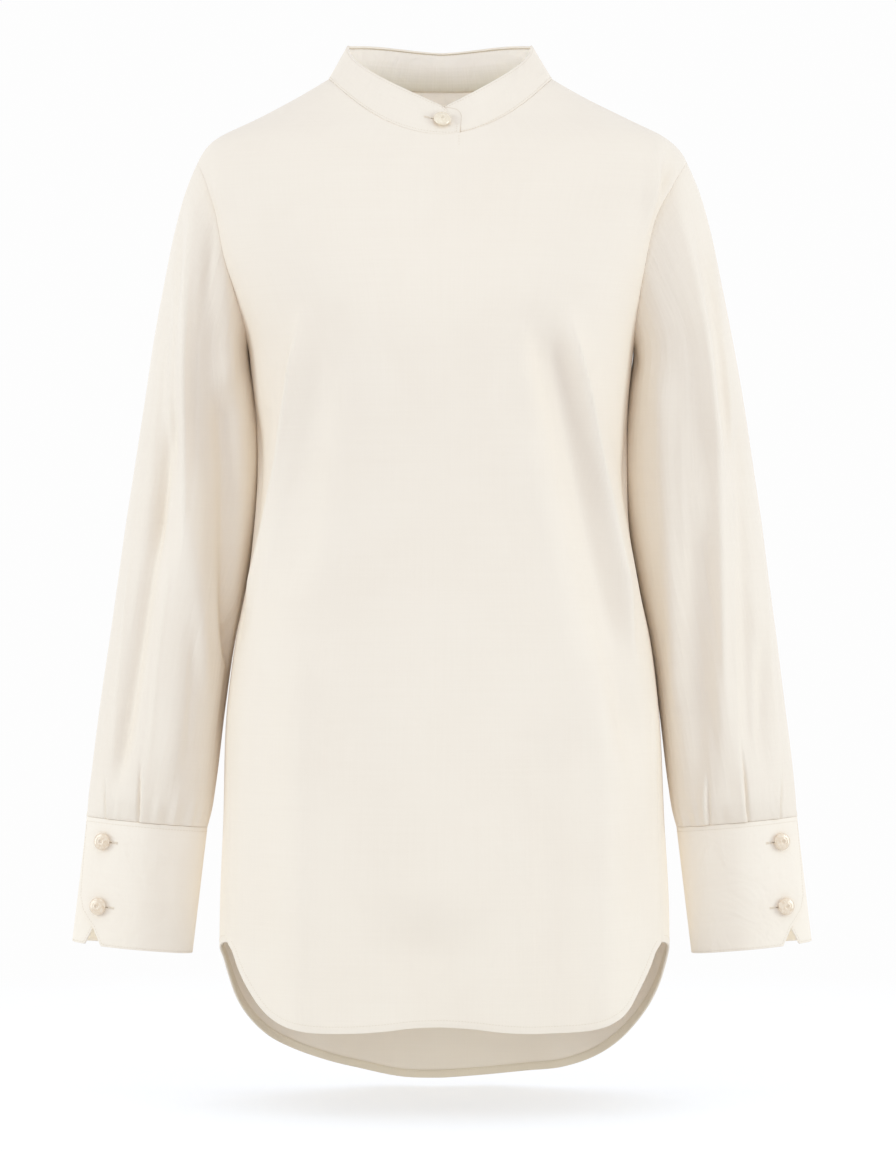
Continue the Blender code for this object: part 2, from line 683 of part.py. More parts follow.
def band_top_point(turn):
    """The band's top edge. turn runs from the hidden end at the front, by +X and the back, to the lap."""
    round_it = math.radians(turn)
    across, ahead = math.sin(round_it), math.cos(round_it)
    half = BAND_TOP_HALF_LEFT if across > 0 else BAND_TOP_HALF_RIGHT
    if 90.0 <= turn <= 270.0:
        flare = BAND_TOP_FLARE * abs(math.sin(2.0 * round_it)) ** 1.5
        height = mix(BAND_TOP_SIDE, BAND_TOP_BACK, ahead * ahead) + flare
        y = -BAND_TOP_BACK_Y * ahead
    else:
        from_side = (90.0 - turn if turn < 90.0 else turn - 270.0) / 90.0
        height = BAND_TOP_SIDE - BAND_TOP_DROP * from_side
        y = BAND_TOP_FRONT_Y * ahead
    return Vector((half * across, y, height))


def band_surface_point(turn, share, lift=0.0):
    """share is 0 at the foot and 1 at the top edge; lift moves it along the band's outward side."""
    foot, top = neckline_point((turn + 180.0) % 360.0 - 180.0), band_top_point(turn)
    up = (top - foot).normalized()
    ahead = band_top_point(min(turn + SMALL_TURN, 360.0 + BAND_LAP))
    along = ahead - band_top_point(max(turn - SMALL_TURN, -BAND_LAP))
    outward = along.cross(up).normalized()
    return mix(foot, top, share) + up * BAND_GAP * (1.0 - share) + outward * lift


def band_lift(turn):
    """The hidden end lies inside the lap by a wall and a little air."""
    under = BAND_CLOTH + LAP_GAP
    return -under * (1.0 - ease((turn - BAND_LAP_SETTLES) / BAND_LAP_BLEND))


def band_point(across, up):
    turns = band_turns()
    turn = float(np.interp(across * (len(turns) - 1), range(len(turns)), turns))
    into_corner = min(max(1.0 - (360.0 + BAND_LAP - turn) / BAND_CORNER, 0.0), 1.0)
    cut = BAND_CORNER_CUT * (1.0 - math.sqrt(1.0 - into_corner**2))
    return band_surface_point(turn, up * (1.0 - cut), band_lift(turn))


def add_collar_band(collection, material):
    builder = placed_grid(len(band_turns()) - 1, BAND_ROWS, band_point)
    walled_object("collar_band", builder, BAND_CLOTH, False, collection, material)


# ---------------------------------------------------------------- buttons


def button_mesh():
    mesh = bpy.data.meshes.new("pearl_button")
    steps = [dict(zip(BUTTON_COLUMNS, row)) for row in BUTTON_PROFILE]
    corners = [(step["radius"], 0.0, step["height"]) for step in steps]
    mesh.from_pydata(corners, [(i, i + 1) for i in range(len(corners) - 1)], [])
    return mesh


def add_button(name, mesh, seat, outward, collection, material):
    obj = add_object(name, mesh.copy(), collection, material)
    turned = obj.modifiers.new("turned", "SCREW")
    turned.steps = turned.render_steps = BUTTON_STEPS
    turned.use_merge_vertices = True
    turned.merge_threshold = 1e-5
    turned.use_smooth_shade = True
    facing = outward.to_track_quat("Z", "Y").to_matrix().to_4x4()
    obj.matrix_world = Matrix.Translation(seat + outward * BUTTON_SEAT) @ facing
    return obj


def outward_of(place, across, up):
    """The outward side of a surface given by place(a, b), by its slopes either way."""
    along = place(across + SMALL_TURN, up) - place(across - SMALL_TURN, up)
    rising = place(across, up + SMALL_SHARE) - place(across, up - SMALL_SHARE)
    return along.cross(rising).normalized()


def add_cuff_buttons(side, word, mesh, collection, material):
    def on_lap(turn, share):
        return cuff_ring_point(side, turn, share, cuff_lap_lift(turn))

    for values in CUFF_BUTTON_ROWS:
        row = dict(zip(CUFF_BUTTON_COLUMNS, values))
        outward = outward_of(on_lap, row["turn"], row["share"]) * side
        seat = on_lap(row["turn"], row["share"])
        add_button(f"cuff_button_{word}_{row['place']}", mesh, seat, outward, collection, material)


def add_collar_button(mesh, collection, material):
    turn = 360.0
    seat = band_surface_point(turn, BAND_BUTTON_SHARE)
    outward = outward_of(band_surface_point, turn, BAND_BUTTON_SHARE)
    add_button("collar_button", mesh, seat, outward, collection, material)


def main():
    clear_scene()
    collection = bpy.data.collections.new(COLLECTION)
    bpy.context.scene.collection.children.link(collection)
    poplin = finish_material("poplin", POPLIN, 0.78)
    band_poplin = finish_material("band_poplin", BAND_POPLIN, 0.76)
    pearl = finish_material("pearl", PEARL, 0.22)

    add_panel("front", True, collection, poplin)
    add_panel("back", False, collection, poplin)
    buttons = button_mesh()
    for side, word in ((-1, "right"), (1, "left")):
        add_sleeve(side, word, collection, poplin)
        add_cuff(side, word, collection, band_poplin)
        add_cuff_buttons(side, word, buttons, collection, pearl)
    add_collar_band(collection, band_poplin)
    add_collar_button(buttons, collection, pearl)


main()
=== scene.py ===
# %% [markdown]
# # A mandarin collar shirt in ivory poplin
#
# The real shirt is cut flat from a light cotton poplin, sewn, and filled out by the body inside it.
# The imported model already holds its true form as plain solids. This lesson gives each cloth piece a
# finer shell on the same form, with its folds, pleats and sewing, and then a woven finish.
#
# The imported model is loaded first, because every new piece has to lie where its solid lies.

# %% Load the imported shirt
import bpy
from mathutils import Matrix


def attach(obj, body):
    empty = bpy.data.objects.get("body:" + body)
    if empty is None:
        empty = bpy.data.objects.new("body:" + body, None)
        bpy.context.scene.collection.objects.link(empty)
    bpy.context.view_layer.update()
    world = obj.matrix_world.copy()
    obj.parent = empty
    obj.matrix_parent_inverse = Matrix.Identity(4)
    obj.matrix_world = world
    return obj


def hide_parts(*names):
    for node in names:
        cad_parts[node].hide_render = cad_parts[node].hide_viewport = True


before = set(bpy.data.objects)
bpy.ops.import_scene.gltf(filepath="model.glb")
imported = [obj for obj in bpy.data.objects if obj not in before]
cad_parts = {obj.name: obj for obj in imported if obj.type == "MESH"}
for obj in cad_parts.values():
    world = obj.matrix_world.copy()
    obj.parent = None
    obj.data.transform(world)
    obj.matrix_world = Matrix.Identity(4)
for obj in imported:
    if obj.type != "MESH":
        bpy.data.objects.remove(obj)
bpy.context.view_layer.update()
print("solids:", ", ".join(sorted(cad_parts)))

# %% [markdown]
# Meshes are built with bmesh, lines are measured with numpy, and a search tree finds the nearest
# seam. The light settings of the scene are made here too.

# %% Tools for the lesson
import functools
import math
from bisect import bisect_left

import bmesh
import bpy
import numpy as np
from mathutils import Matrix, Vector
from mathutils.kdtree import KDTree

SIDES = ((-1, "right"), (1, "left"))  # the wearer's right lies at -X

scene = bpy.context.scene
scene.view_settings.view_transform = "Standard"
scene.cycles.diffuse_bounces = 8  # pale cloth hands light on many times, deep into its folds
print("sides:", ", ".join(f"{word} at {side:+d}" for side, word in SIDES))

# %% [markdown]
# ## The studio
#
# Shirts like this one are shown on an empty form against white. A long lens from a few metres away
# keeps the sides straight, so the camera stands back and looks level at the middle of the shirt.

# %% Camera
CAMERA_DISTANCE = 3.2
CAMERA_X = 0.0048
CAMERA_HEIGHT = -0.3968
METRES_ACROSS_PIXEL = 0.0008
PICTURE_HEIGHT = 1152
SENSOR = 36.0

lens = bpy.data.cameras.new("studio_camera")
lens.sensor_fit = "AUTO"
lens.sensor_width = SENSOR
lens.lens = SENSOR * CAMERA_DISTANCE / (PICTURE_HEIGHT * METRES_ACROSS_PIXEL)
lens.clip_end = 60.0
camera = bpy.data.objects.new("studio_camera", lens)
camera.location = (CAMERA_X, -CAMERA_DISTANCE, CAMERA_HEIGHT)
camera.rotation_euler = (math.radians(90.0), 0.0, 0.0)
scene.collection.objects.link(camera)
scene.camera = camera
print(f"lens {lens.lens:.1f} mm, {CAMERA_DISTANCE} m away")

# %% [markdown]
# The room, the floor and every finish are made of shader nodes, so a few helpers come first. Most
# of them add one node, fill in its inputs and give back the socket that carries its result.

# %% Node helpers
def fill(tree, node, inputs):
    """Fills the node's inputs by name or number: a socket is linked, any other value is set."""
    for name, value in inputs.items():
        if isinstance(value, bpy.types.NodeSocket):
            tree.links.new(value, node.inputs[name])
        else:
            node.inputs[name].default_value = value
    return node


def maths(tree, operation, first, second=0.5):
    node = tree.nodes.new("ShaderNodeMath")
    node.operation = operation
    return fill(tree, node, {0: first, 1: second}).outputs["Value"]


def times(tree, first, second):
    return maths(tree, "MULTIPLY", first, second)


def plus(tree, first, second):
    return maths(tree, "ADD", first, second)


def remapped(tree, value, low, high, start=0.0, end=1.0):
    """Goes softly from low to high as the value goes from start to end."""
    node = tree.nodes.new("ShaderNodeMapRange")
    node.interpolation_type = "SMOOTHSTEP"
    fill(tree, node, {"From Min": start, "From Max": end, "To Min": low, "To Max": high})
    return fill(tree, node, {"Value": value}).outputs["Result"]


def mixed_colour(tree, share, low, high):
    node = tree.nodes.new("ShaderNodeMix")
    node.data_type = "RGBA"
    inputs = {"Factor": share, "A": (*low, 1.0), "B": (*high, 1.0)}
    return fill(tree, node, inputs).outputs["Result"]


def noise(tree, vector, scale, detail=2.0, distortion=0.0):
    inputs = {"Vector": vector, "Scale": scale, "Detail": detail, "Distortion": distortion}
    return fill(tree, tree.nodes.new("ShaderNodeTexNoise"), inputs).outputs["Fac"]


def stretched(tree, vector, across, along):
    inputs = {"Vector": vector, "Scale": (across, along, 1.0)}
    return fill(tree, tree.nodes.new("ShaderNodeMapping"), inputs).outputs["Vector"]


def bumped(tree, height, distance):
    inputs = {"Height": height, "Distance": distance}
    return fill(tree, tree.nodes.new("ShaderNodeBump"), inputs).outputs["Normal"]


def new_material(name):
    material = bpy.data.materials.new(name)
    material.use_nodes = True
    return material, material.node_tree, material.node_tree.nodes["Principled BSDF"]


print("node helpers: maths, remap, mixed colour, noise, stretch, bump")

# %% [markdown]
# Ivory cloth on white needs soft light from all round, so that it never turns grey, and a stronger
# light from far out at both sides, which grazes the front and so shows the folds. The room is a
# pale world. Two large softboxes at the sides do the modelling, two more behind do it for the back,
# and a fifth overhead lifts the shoulders. They are a touch greener than the room, which is why the
# rounded sides of the shirt look greener than its middle. Three small lamps light what lies in deep
# shade: one the inside of the neck, and one the notch of each cuff.

# %% Light
SIDE_LIGHT = (0.905, 1.02, 1.02)
INNER_LIGHT = (0.920, 1.10, 1.34)
ROOM_LIGHT = (0.990, 0.995, 1.072)
WHITE = (1.0, 1.0, 1.0)
ROOM_POWER = 0.775
BACKDROP_POWER = 0.985
SHIRT = (0.0, 0.0, -0.4)
TALL = (1.0, 2.2)
TINY = (0.016, 0.010)
LAMPS = (  # name, place, aim, size in metres, watts and colour
    ("softbox_left", (-2.9, -1.5, 0.2), SHIRT, TALL, 27.8, SIDE_LIGHT),
    ("softbox_right", (2.9, -1.5, 0.2), SHIRT, TALL, 29.2, SIDE_LIGHT),
    ("softbox_back", (-1.8, 2.9, 0.3), SHIRT, TALL, 13.0, SIDE_LIGHT),
    ("softbox_back", (1.8, 2.9, 0.3), SHIRT, TALL, 13.0, SIDE_LIGHT),
    ("softbox_top", (0.0, -1.3, 2.0), (0.0, 0.0, -0.2), (2.2, 1.2), 5.4, SIDE_LIGHT),
    ("neck_lamp", (0.0, -0.065, -0.20), (0.0, 0.070, -0.01), (0.15, 0.06), 0.136, INNER_LIGHT),
    ("cuff_lamp", (-0.245, -0.006, -0.640), (-0.266, 0.014, -0.690), TINY, 0.010, SIDE_LIGHT),
    ("cuff_lamp", (0.245, -0.006, -0.640), (0.266, 0.014, -0.690), TINY, 0.010, SIDE_LIGHT),
)


def softbox(name, place, aim, size, power, colour):
    lamp = bpy.data.lights.new(name, "AREA")
    lamp.shape = "RECTANGLE"
    lamp.size, lamp.size_y = size
    lamp.energy = power
    lamp.color = colour
    stand = bpy.data.objects.new(name, lamp)
    stand.location = place
    stand.rotation_euler = (Vector(aim) - Vector(place)).to_track_quat("-Z", "Y").to_euler()
    scene.collection.objects.link(stand)


for row in LAMPS:
    softbox(*row)
world = bpy.data.worlds.new("pale_room")
scene.world = world
world.use_nodes = True
room = world.node_tree
seen = room.nodes.new("ShaderNodeLightPath").outputs["Is Camera Ray"]
fill(room, room.nodes["Background"], {
    "Color": mixed_colour(room, seen, ROOM_LIGHT, WHITE),
    "Strength": remapped(room, seen, ROOM_POWER, BACKDROP_POWER),
})
print(len(LAMPS), "lamps and a pale room")

# %% [markdown]
# The floor is a white disc just below the hem. It fades out before it ends, so that no horizon
# shows and only the shirt's own soft shadow is left on it. It glows a little, and more so for the
# camera than for the shirt, which keeps the shadow soft and the hem from being lit from below.

# %% Floor
FLOOR_HEIGHT = -0.8185
FLOOR_CENTRE_Y = 0.05
FLOOR_RADIUS = 1.3
FLOOR_SIDES = 96
FLOOR_GREY = (0.50, 0.50, 0.50, 1.0)
FLOOR_GLOW = (0.98, 1.0, 1.025, 1.0)
GLOW_ON_SHIRT = 0.375
GLOW_SEEN = 0.556
FADE_FROM = 0.35
FADE_TO = 1.15


def in_scene(name, builder, material):
    """An object with the builder's mesh and this material."""
    mesh = bpy.data.meshes.new(name)
    builder.to_mesh(mesh)
    builder.free()
    mesh.materials.append(material)
    piece = bpy.data.objects.new(name, mesh)
    scene.collection.objects.link(piece)
    return piece


def vector_maths(tree, operation, inputs):
    node = tree.nodes.new("ShaderNodeVectorMath")
    node.operation = operation
    return fill(tree, node, inputs).outputs


def floor_material():
    material, tree, shader = new_material("floor_white")
    place = tree.nodes.new("ShaderNodeTexCoord").outputs["Object"]
    straight = tree.nodes.new("ShaderNodeLightPath").outputs["Is Camera Ray"]
    flat = vector_maths(tree, "MULTIPLY", {0: place, 1: (1.0, 1.0, 0.0)})["Vector"]
    far = vector_maths(tree, "LENGTH", {0: flat})["Value"]
    fill(tree, shader, {
        "Base Color": FLOOR_GREY,
        "Roughness": 0.9,
        "Specular IOR Level": 0.0,
        "Emission Color": FLOOR_GLOW,
        "Emission Strength": remapped(tree, straight, GLOW_ON_SHIRT, GLOW_SEEN),
        "Alpha": remapped(tree, far, 1.0, 0.0, FADE_FROM, FADE_TO),
    })
    return material


disc = bmesh.new()
bmesh.ops.create_circle(disc, cap_ends=True, segments=FLOOR_SIDES, radius=FLOOR_RADIUS)
bmesh.ops.translate(disc, verts=disc.verts, vec=(0.0, FLOOR_CENTRE_Y, FLOOR_HEIGHT))
floor = in_scene("floor", disc, floor_material())
print(floor.name, "at", FLOOR_HEIGHT)

# %% [markdown]
# ## The shirt's form in numbers
#
# A pattern cutter works from a few body measurements. The same is done here: one table gives the
# half widths and depths of the body at each height, and short tables give the neckline, armholes,
# hem, sleeves, cuffs and collar band. A smooth curve runs through each column of a table.

# %% Tables of the body
CLOTH = 0.0014
BAND_CLOTH = 0.0018
SEAM_GAP = 0.0001
LAP_GAP = 0.0004
NECK_END_GAP = 0.0004


def millimetres(*rows):
    """Rows of a table, which are written in millimetres, in metres."""
    return tuple(tuple(value / 1000.0 for value in row) for row in rows)


BODY_COLUMNS = ("height", "right", "left", "front", "back")
BODY_ROWS = millimetres(
    (12, 72, 70, 30, 58),
    (0, 91, 88.5, 40, 65),
    (-16, 118, 116.6, 48, 72),
    (-32, 148, 148.8, 59, 79),
    (-48, 180.2, 180.2, 73, 85),
    (-64, 194, 194.6, 83, 90),
    (-86, 196.5, 193.5, 95, 96),
    (-110, 193, 184, 105, 101),
    (-144, 184.6, 173.5, 118, 105),
    (-176, 170, 163.4, 127, 107),
    (-208, 156.5, 154.5, 131, 107),
    (-240, 152, 150.5, 130, 105),
    (-320, 147.5, 148, 125, 101),
    (-352, 149.6, 148.8, 124, 101),
    (-400, 155.2, 156, 124, 103),
    (-448, 164.8, 166.4, 124, 106),
    (-500, 171.4, 172.8, 124, 109),
    (-592, 174.6, 177.6, 124, 112),
    (-656, 177.2, 181.2, 123, 114),
    (-720, 177.8, 181.8, 122, 114),
    (-820, 177, 181, 120, 112),
)
FULLNESS = 0.92  # below 1, a section is fuller at its corners than an ellipse

NECK_DROP_FRONT = 0.0515
NECK_DROP_BACK = 0.0020

ARMHOLE_MIDDLE = -0.1405
ARMHOLE_HALF_HEIGHT = 0.0740
ARMHOLE_CENTRE_Y = -0.004
ARMHOLE_TO_FRONT = 0.0440
ARMHOLE_TO_BACK = 0.0500

SIDE_NOTCH = -0.6860
SIDE_NOTCH_Y = -0.0420

HEM_COLUMNS = ("share", "front", "back_right", "back_left")
HEM_ROWS = (
    (0.00, 0.0000, 0.0000, 0.0000),
    (0.05, 0.0070, 0.0012, 0.0012),
    (0.10, 0.0190, 0.0040, 0.0040),
    (0.18, 0.0355, 0.0105, 0.0112),
    (0.25, 0.0472, 0.0195, 0.0250),
    (0.30, 0.0528, 0.0330, 0.0382),
    (0.36, 0.0573, 0.0515, 0.0535),
    (0.44, 0.0614, 0.0712, 0.0725),
    (0.52, 0.0636, 0.0868, 0.0903),
    (0.60, 0.0645, 0.0976, 0.1038),
    (0.70, 0.0644, 0.1083, 0.1145),
    (0.80, 0.0630, 0.1168, 0.1190),
    (0.92, 0.0602, 0.1254, 0.1240),
    (1.00, 0.0594, 0.1256, 0.1256),
)
print("body sections:", len(BODY_ROWS), " hem steps:", len(HEM_ROWS))

# %% [markdown]
# Folds are what makes a smooth form read as cloth. Each row of the next tables is one soft fold:
# where it starts and ends, how much it bows, its half width and its rise. A fold with a negative
# rise is a trough. The ones at the front spread from the bust down to the sides, as the cloth hangs
# from there, and the ones near the hem run straight down. Creases are short and fine folds.

# %% Tables of the folds
# in mm: x and height at the top, x and height at the foot, bow, half width, rise
FRONT_FOLDS = millimetres(
    (-104, -180, -161, -450, 7.5, 9.5, 7),
    (-107, -185, -163, -450, 7.5, 3.2, 4.6),
    (-118, -205, -170, -470, 7.5, 6, -6.4),
    (-130, -195, -166, -410, 5, 10.5, -3.5),
    (-88, -210, -122, -430, 4, 13, -2.4),
    (94, -175, 153, -450, -2, 9, 8.2),
    (94, -185, 158, -480, -2, 3.2, 4.4),
    (85, -190, 149, -480, -2, 5.5, -3.4),
    (71, -180, 156, -560, 1, 14.5, -9.5),
    (52, -260, 108, -540, 4, 15, 3.4),
    (126, -205, 164, -390, -2, 9.5, -3),
    (172, -40, 158, -150, 1, 6, 4.6),
    (183, -42, 170, -135, 1, 7, -6),
    (-182, -40, -166, -150, 0, 9, 3),
    (-104, -420, -104, -820, 0, 20, 4.6),
    (-142, -450, -146, -800, 0, 17, -4.2),
    (-60, -480, -66, -780, 0, 22, -2),
    (124, -430, 122, -820, 0, 18, 5),
    (82, -500, 90, -820, 0, 16, -3.4),
    (154, -470, 158, -800, 0, 13, -3.4),
    (-12, -640, -8, -900, 0, 40, -9.5),
    (40, -560, 48, -800, 0, 22, 2),
)
BACK_FOLDS = millimetres(
    (-70, -110, -94, -430, -6, 16, -4.5),
    (78, -100, 98, -410, 5, 15, -5),
    (-106, -180, -124, -460, -4, 13, 4.5),
    (108, -170, 126, -440, 4, 13, 4.5),
    (30, -300, 40, -860, 0, 26, 4),
    (-38, -340, -46, -860, 0, 26, 4),
    (0, -420, -4, -860, 0, 24, -6),
    (86, -430, 94, -860, 0, 22, -5),
    (-92, -450, -98, -860, 0, 22, -5),
    (140, -450, 146, -780, 0, 18, 3),
    (-142, -470, -146, -780, 0, 18, 3),
)
FRONT_CREASES = millimetres(
    (173.5, -58, 163, -112, 1, 5, 1.6),
    (-186, -70, -174, -118, 1, 5.5, 1),
    (98, -215, 120, -300, 4, 6, 1.2),
    (-106, -215, -124, -310, -4, 6.5, 1),
    (128, -255, 150, -360, 3, 5.5, -1.2),
    (-140, -240, -150, -340, -3, 5.5, -1.2),
    (146, -330, 165, -470, 2, 6, 1),
    (-150, -330, -166, -480, -2, 6, 1),
)
BACK_CREASES = millimetres(
    (120, -150, 138, -250, 4, 6, 1.2),
    (-118, -150, -136, -260, -4, 6, 1.2),
    (60, -230, 52, -360, 2, 7, -1),
    (-64, -220, -56, -380, -2, 7, -1),
    (128, -300, 120, -400, 3, 6.5, 1.2),
    (-126, -310, -118, -410, -3, 6.5, 1.2),
)
FOLD_FADE = 0.055  # how far from its ends a fold has its full rise
SEAM_CALM = 0.010  # how far from a seam the folds have theirs
FOLDS = {True: FRONT_FOLDS + FRONT_CREASES, False: BACK_FOLDS + BACK_CREASES}  # by forward
print("folds and creases:", {"front": len(FOLDS[True]), "back": len(FOLDS[False])})

# %% [markdown]
# The curve through a table has to be smooth, or the cloth would show a line at every row. A cubic
# between neighbouring rows, with slopes taken from both sides, is enough.

# %% Smooth curves through a table
def clamp(value, low=0.0, high=1.0):
    return min(max(value, low), high)


def powered(value, power):
    """A power of the value's size, with the value's sign."""
    return math.copysign(abs(value) ** power, value)


def circle(turn):
    """The sine and the cosine of a turn in degrees."""
    angle = math.radians(turn)
    return math.sin(angle), math.cos(angle)


@functools.lru_cache(maxsize=None)
def curve(columns, rows, name):
    """Places, values and slopes of the named column, in rising order of place."""
    ordered = sorted(rows)
    places = [row[0] for row in ordered]
    values = [row[columns.index(name)] for row in ordered]
    return places, values, [float(slope) for slope in np.gradient(values, places)]


def smooth_column(columns, rows, name, at):
    """The named column's value at `at`, a place in the first column, on a smooth curve."""
    places, values, slopes = curve(columns, rows, name)
    left = clamp(bisect_left(places, at) - 1, 0, len(places) - 2)
    span = places[left + 1] - places[left]
    share = clamp((at - places[left]) / span)
    rest = 1.0 - share
    return (
        values[left] * rest * rest * (1.0 + 2.0 * share)
        + values[left + 1] * share * share * (3.0 - 2.0 * share)
        + slopes[left] * span * share * rest * rest
        - slopes[left + 1] * span * share * share * rest
    )


def mix(first, second, share):
    return first + (second - first) * share


def ease(share):
    """0 to 1 with a level start and end."""
    share = clamp(share)
    return share * share * (3.0 - 2.0 * share)


def hump(offset, width):
    """A soft bump: 1 at no offset, almost 0 at twice the width."""
    return math.exp(-((offset / width) ** 2))


print("half width at the waist:", round(smooth_column(BODY_COLUMNS, BODY_ROWS, "left", -0.32), 4))

# %% [markdown]
# ## The body
#
# A point of the body is given by a turn round it and a height. The section is a little fuller than
# an ellipse, as a body is. The panels are cut from this one form, so their seams always meet.

# %% Points of the body
def section(height, name):
    return smooth_column(BODY_COLUMNS, BODY_ROWS, name, height)


def half_width(side, height):
    return section(height, "left" if side > 0 else "right")


def depth(forward, height):
    return section(height, "front" if forward else "back")


def body_point(turn, height):
    """A point of the body's form: turn is 0 at the middle of the front and 90 at +X, in degrees."""
    across, ahead = circle(turn)
    x = half_width(across, height) * powered(across, FULLNESS)
    return Vector((x, -depth(ahead > 0, height) * powered(ahead, FULLNESS), height))


def other_share(share):
    """How far out across a section still is, at this share of its depth, or the other way about."""
    share = min(abs(share), 1.0)
    return (1.0 - share ** (2.0 / FULLNESS)) ** (FULLNESS / 2.0)


def body_point_beside(side, y, height):
    """The body's point at this y and height, on the side of +X (side 1) or -X (side -1)."""
    across = other_share(y / depth(y < 0, height))
    return Vector((side * half_width(side, height) * across, y, height))


def body_point_across(x, height, forward):
    """The body's point at this x and height, on its front or its back."""
    ahead = other_share(x / half_width(x, height))
    return Vector((x, (-1 if forward else 1) * depth(forward, height) * ahead, height))


def turn_of(point):
    """The turn at which the body's form passes nearest to this point."""
    across = powered(point.x / half_width(point.x, point.z), 1.0 / FULLNESS)
    ahead = powered(-point.y / depth(point.y < 0, point.z), 1.0 / FULLNESS)
    return math.degrees(math.atan2(across, ahead))


SMALL_TURN = 1.0
SMALL_RISE = 0.004


def form_normal(point):
    """The outward side of the body's form, where this point lies on it."""
    turn, height = turn_of(point), point.z
    round_it = body_point(turn + SMALL_TURN, height) - body_point(turn - SMALL_TURN, height)
    up_it = body_point(turn, height + SMALL_RISE) - body_point(turn, height - SMALL_RISE)
    return round_it.cross(up_it).normalized()


def on_form(point):
    """This point moved onto the body's form at its own height."""
    return body_point(turn_of(point), point.z)


print("a point at the bust:", [round(value, 3) for value in body_point(0.0, -0.208)])

# %% [markdown]
# The seam lines come next: the armhole, the side seam, the shoulder seam, the neckline and the hem.
# Each is a line on the body's form, and a panel's outline is made of them.

# %% Seam lines
SLEEVE_SIDES = 28
NECK_COLUMNS_FRONT = 18
NECK_COLUMNS_BACK = 14
SHOULDER_COLUMNS = 6
SIDE_SEAM_ROWS = 14
ARMHOLE_ROWS = SLEEVE_SIDES // 2
ARMPIT = ARMHOLE_MIDDLE - ARMHOLE_HALF_HEIGHT
SHOULDER_TIP = ARMHOLE_MIDDLE + ARMHOLE_HALF_HEIGHT


def armhole_point(side, turn, smaller=0.0):
    """The armhole: turn 0 is at the shoulder, 90 at the front and 180 under the arm."""
    ahead, up = circle(turn)
    reach = ARMHOLE_TO_FRONT if ahead > 0 else ARMHOLE_TO_BACK
    y = ARMHOLE_CENTRE_Y - (reach - smaller) * ahead
    return body_point_beside(side, y, ARMHOLE_MIDDLE + (ARMHOLE_HALF_HEIGHT - smaller) * up)


def beside_seam(side, y, height, gap, forward):
    """The body's point half a gap in front of a seam at this y, or half a gap behind it."""
    return body_point_beside(side, y + (-gap if forward else gap) / 2.0, height)


def side_seam_point(side, share, forward):
    """From the notch in the hem, share 0, up to the armhole, share 1."""
    y = mix(SIDE_NOTCH_Y, ARMHOLE_CENTRE_Y, ease(share))
    return beside_seam(side, y, mix(SIDE_NOTCH, ARMPIT, share), SEAM_GAP, forward)


def shoulder_seam_point(side, share, forward):
    """From the armhole, share 0, to the neckline, share 1."""
    gap = mix(SEAM_GAP, NECK_END_GAP, share)
    y = mix(ARMHOLE_CENTRE_Y, 0.0, share)
    return beside_seam(side, y, mix(SHOULDER_TIP, 0.0, share), gap, forward)


def neckline_point(turn):
    """The neckline, at a turn from the middle of the front: 90 is the +X side and 180 the back."""
    across, ahead = circle(turn)
    drop = NECK_DROP_FRONT if ahead > 0 else NECK_DROP_BACK
    return body_point_across(half_width(across, 0.0) * across, -drop * ahead * ahead, ahead > 0)


def hem_point(forward, share):
    """The hem of one panel, from the -X side, share 0, to the +X side, share 1."""
    turn_start, turn_end = (turn_of(side_seam_point(side, 0.0, forward)) for side, _ in SIDES)
    if not forward:
        turn_start += 360.0
    turn = mix(turn_start, turn_end, share)
    inward = 1.0 - abs(2.0 * share - 1.0)
    back = "back_left" if share > 0.5 else "back_right"
    drop = smooth_column(HEM_COLUMNS, HEM_ROWS, "front" if forward else back, inward)
    return body_point(turn, SIDE_NOTCH - drop)


def neck_columns(forward):
    return NECK_COLUMNS_FRONT if forward else NECK_COLUMNS_BACK


def top_point(forward, share):
    """A panel's top edge, from the -X shoulder tip along the neckline to the +X one."""
    column = round(share * (neck_columns(forward) + 2 * SHOULDER_COLUMNS), 4)
    past_neck = column - SHOULDER_COLUMNS - neck_columns(forward)
    if column <= SHOULDER_COLUMNS:
        return shoulder_seam_point(-1, column / SHOULDER_COLUMNS, forward)
    if past_neck >= 0:
        return shoulder_seam_point(1, 1.0 - past_neck / SHOULDER_COLUMNS, forward)
    turn = 180.0 * (column - SHOULDER_COLUMNS) / neck_columns(forward) - 90.0
    return neckline_point(turn if forward else 180.0 - turn)


def side_point(side, share, forward):
    """A panel's side edge, from the notch up the side seam and round the armhole to its top."""
    seam_share = SIDE_SEAM_ROWS / (SIDE_SEAM_ROWS + ARMHOLE_ROWS)
    if share <= seam_share:
        return side_seam_point(side, share / seam_share, forward)
    turn = 180.0 * (1.0 - (share - seam_share) / (1.0 - seam_share))
    point = armhole_point(side, turn if forward else -turn)
    gap = SEAM_GAP * (1.0 - circle(turn)[0])
    return beside_seam(side, point.y, point.z, gap, forward)


def panel_point(forward, across, up):
    """A point inside the four edges of a panel, blended from them and laid on the body's form."""
    low, high = hem_point(forward, across), top_point(forward, across)
    right, left = side_point(-1, up, forward), side_point(1, up, forward)
    corners = (
        mix(hem_point(forward, 0.0), hem_point(forward, 1.0), across),
        mix(top_point(forward, 0.0), top_point(forward, 1.0), across),
    )
    blended = mix(low, high, up) + mix(right, left, across) - mix(*corners, up)
    return on_form(blended)


print("front hem at its middle:", round(hem_point(True, 0.5).z, 4))

# %% [markdown]
# ## Finishes
#
# Poplin is a plain weave with fine threads, so close one that the eye sees a smooth matt cloth with
# a faint silky sheen, and only a close look finds the threads. A node group draws the weave from
# the cloth's own UV map, which is laid out in metres along the threads, so that the weave follows
# each piece as real grain does. The group is built once and used with other values for each cloth.

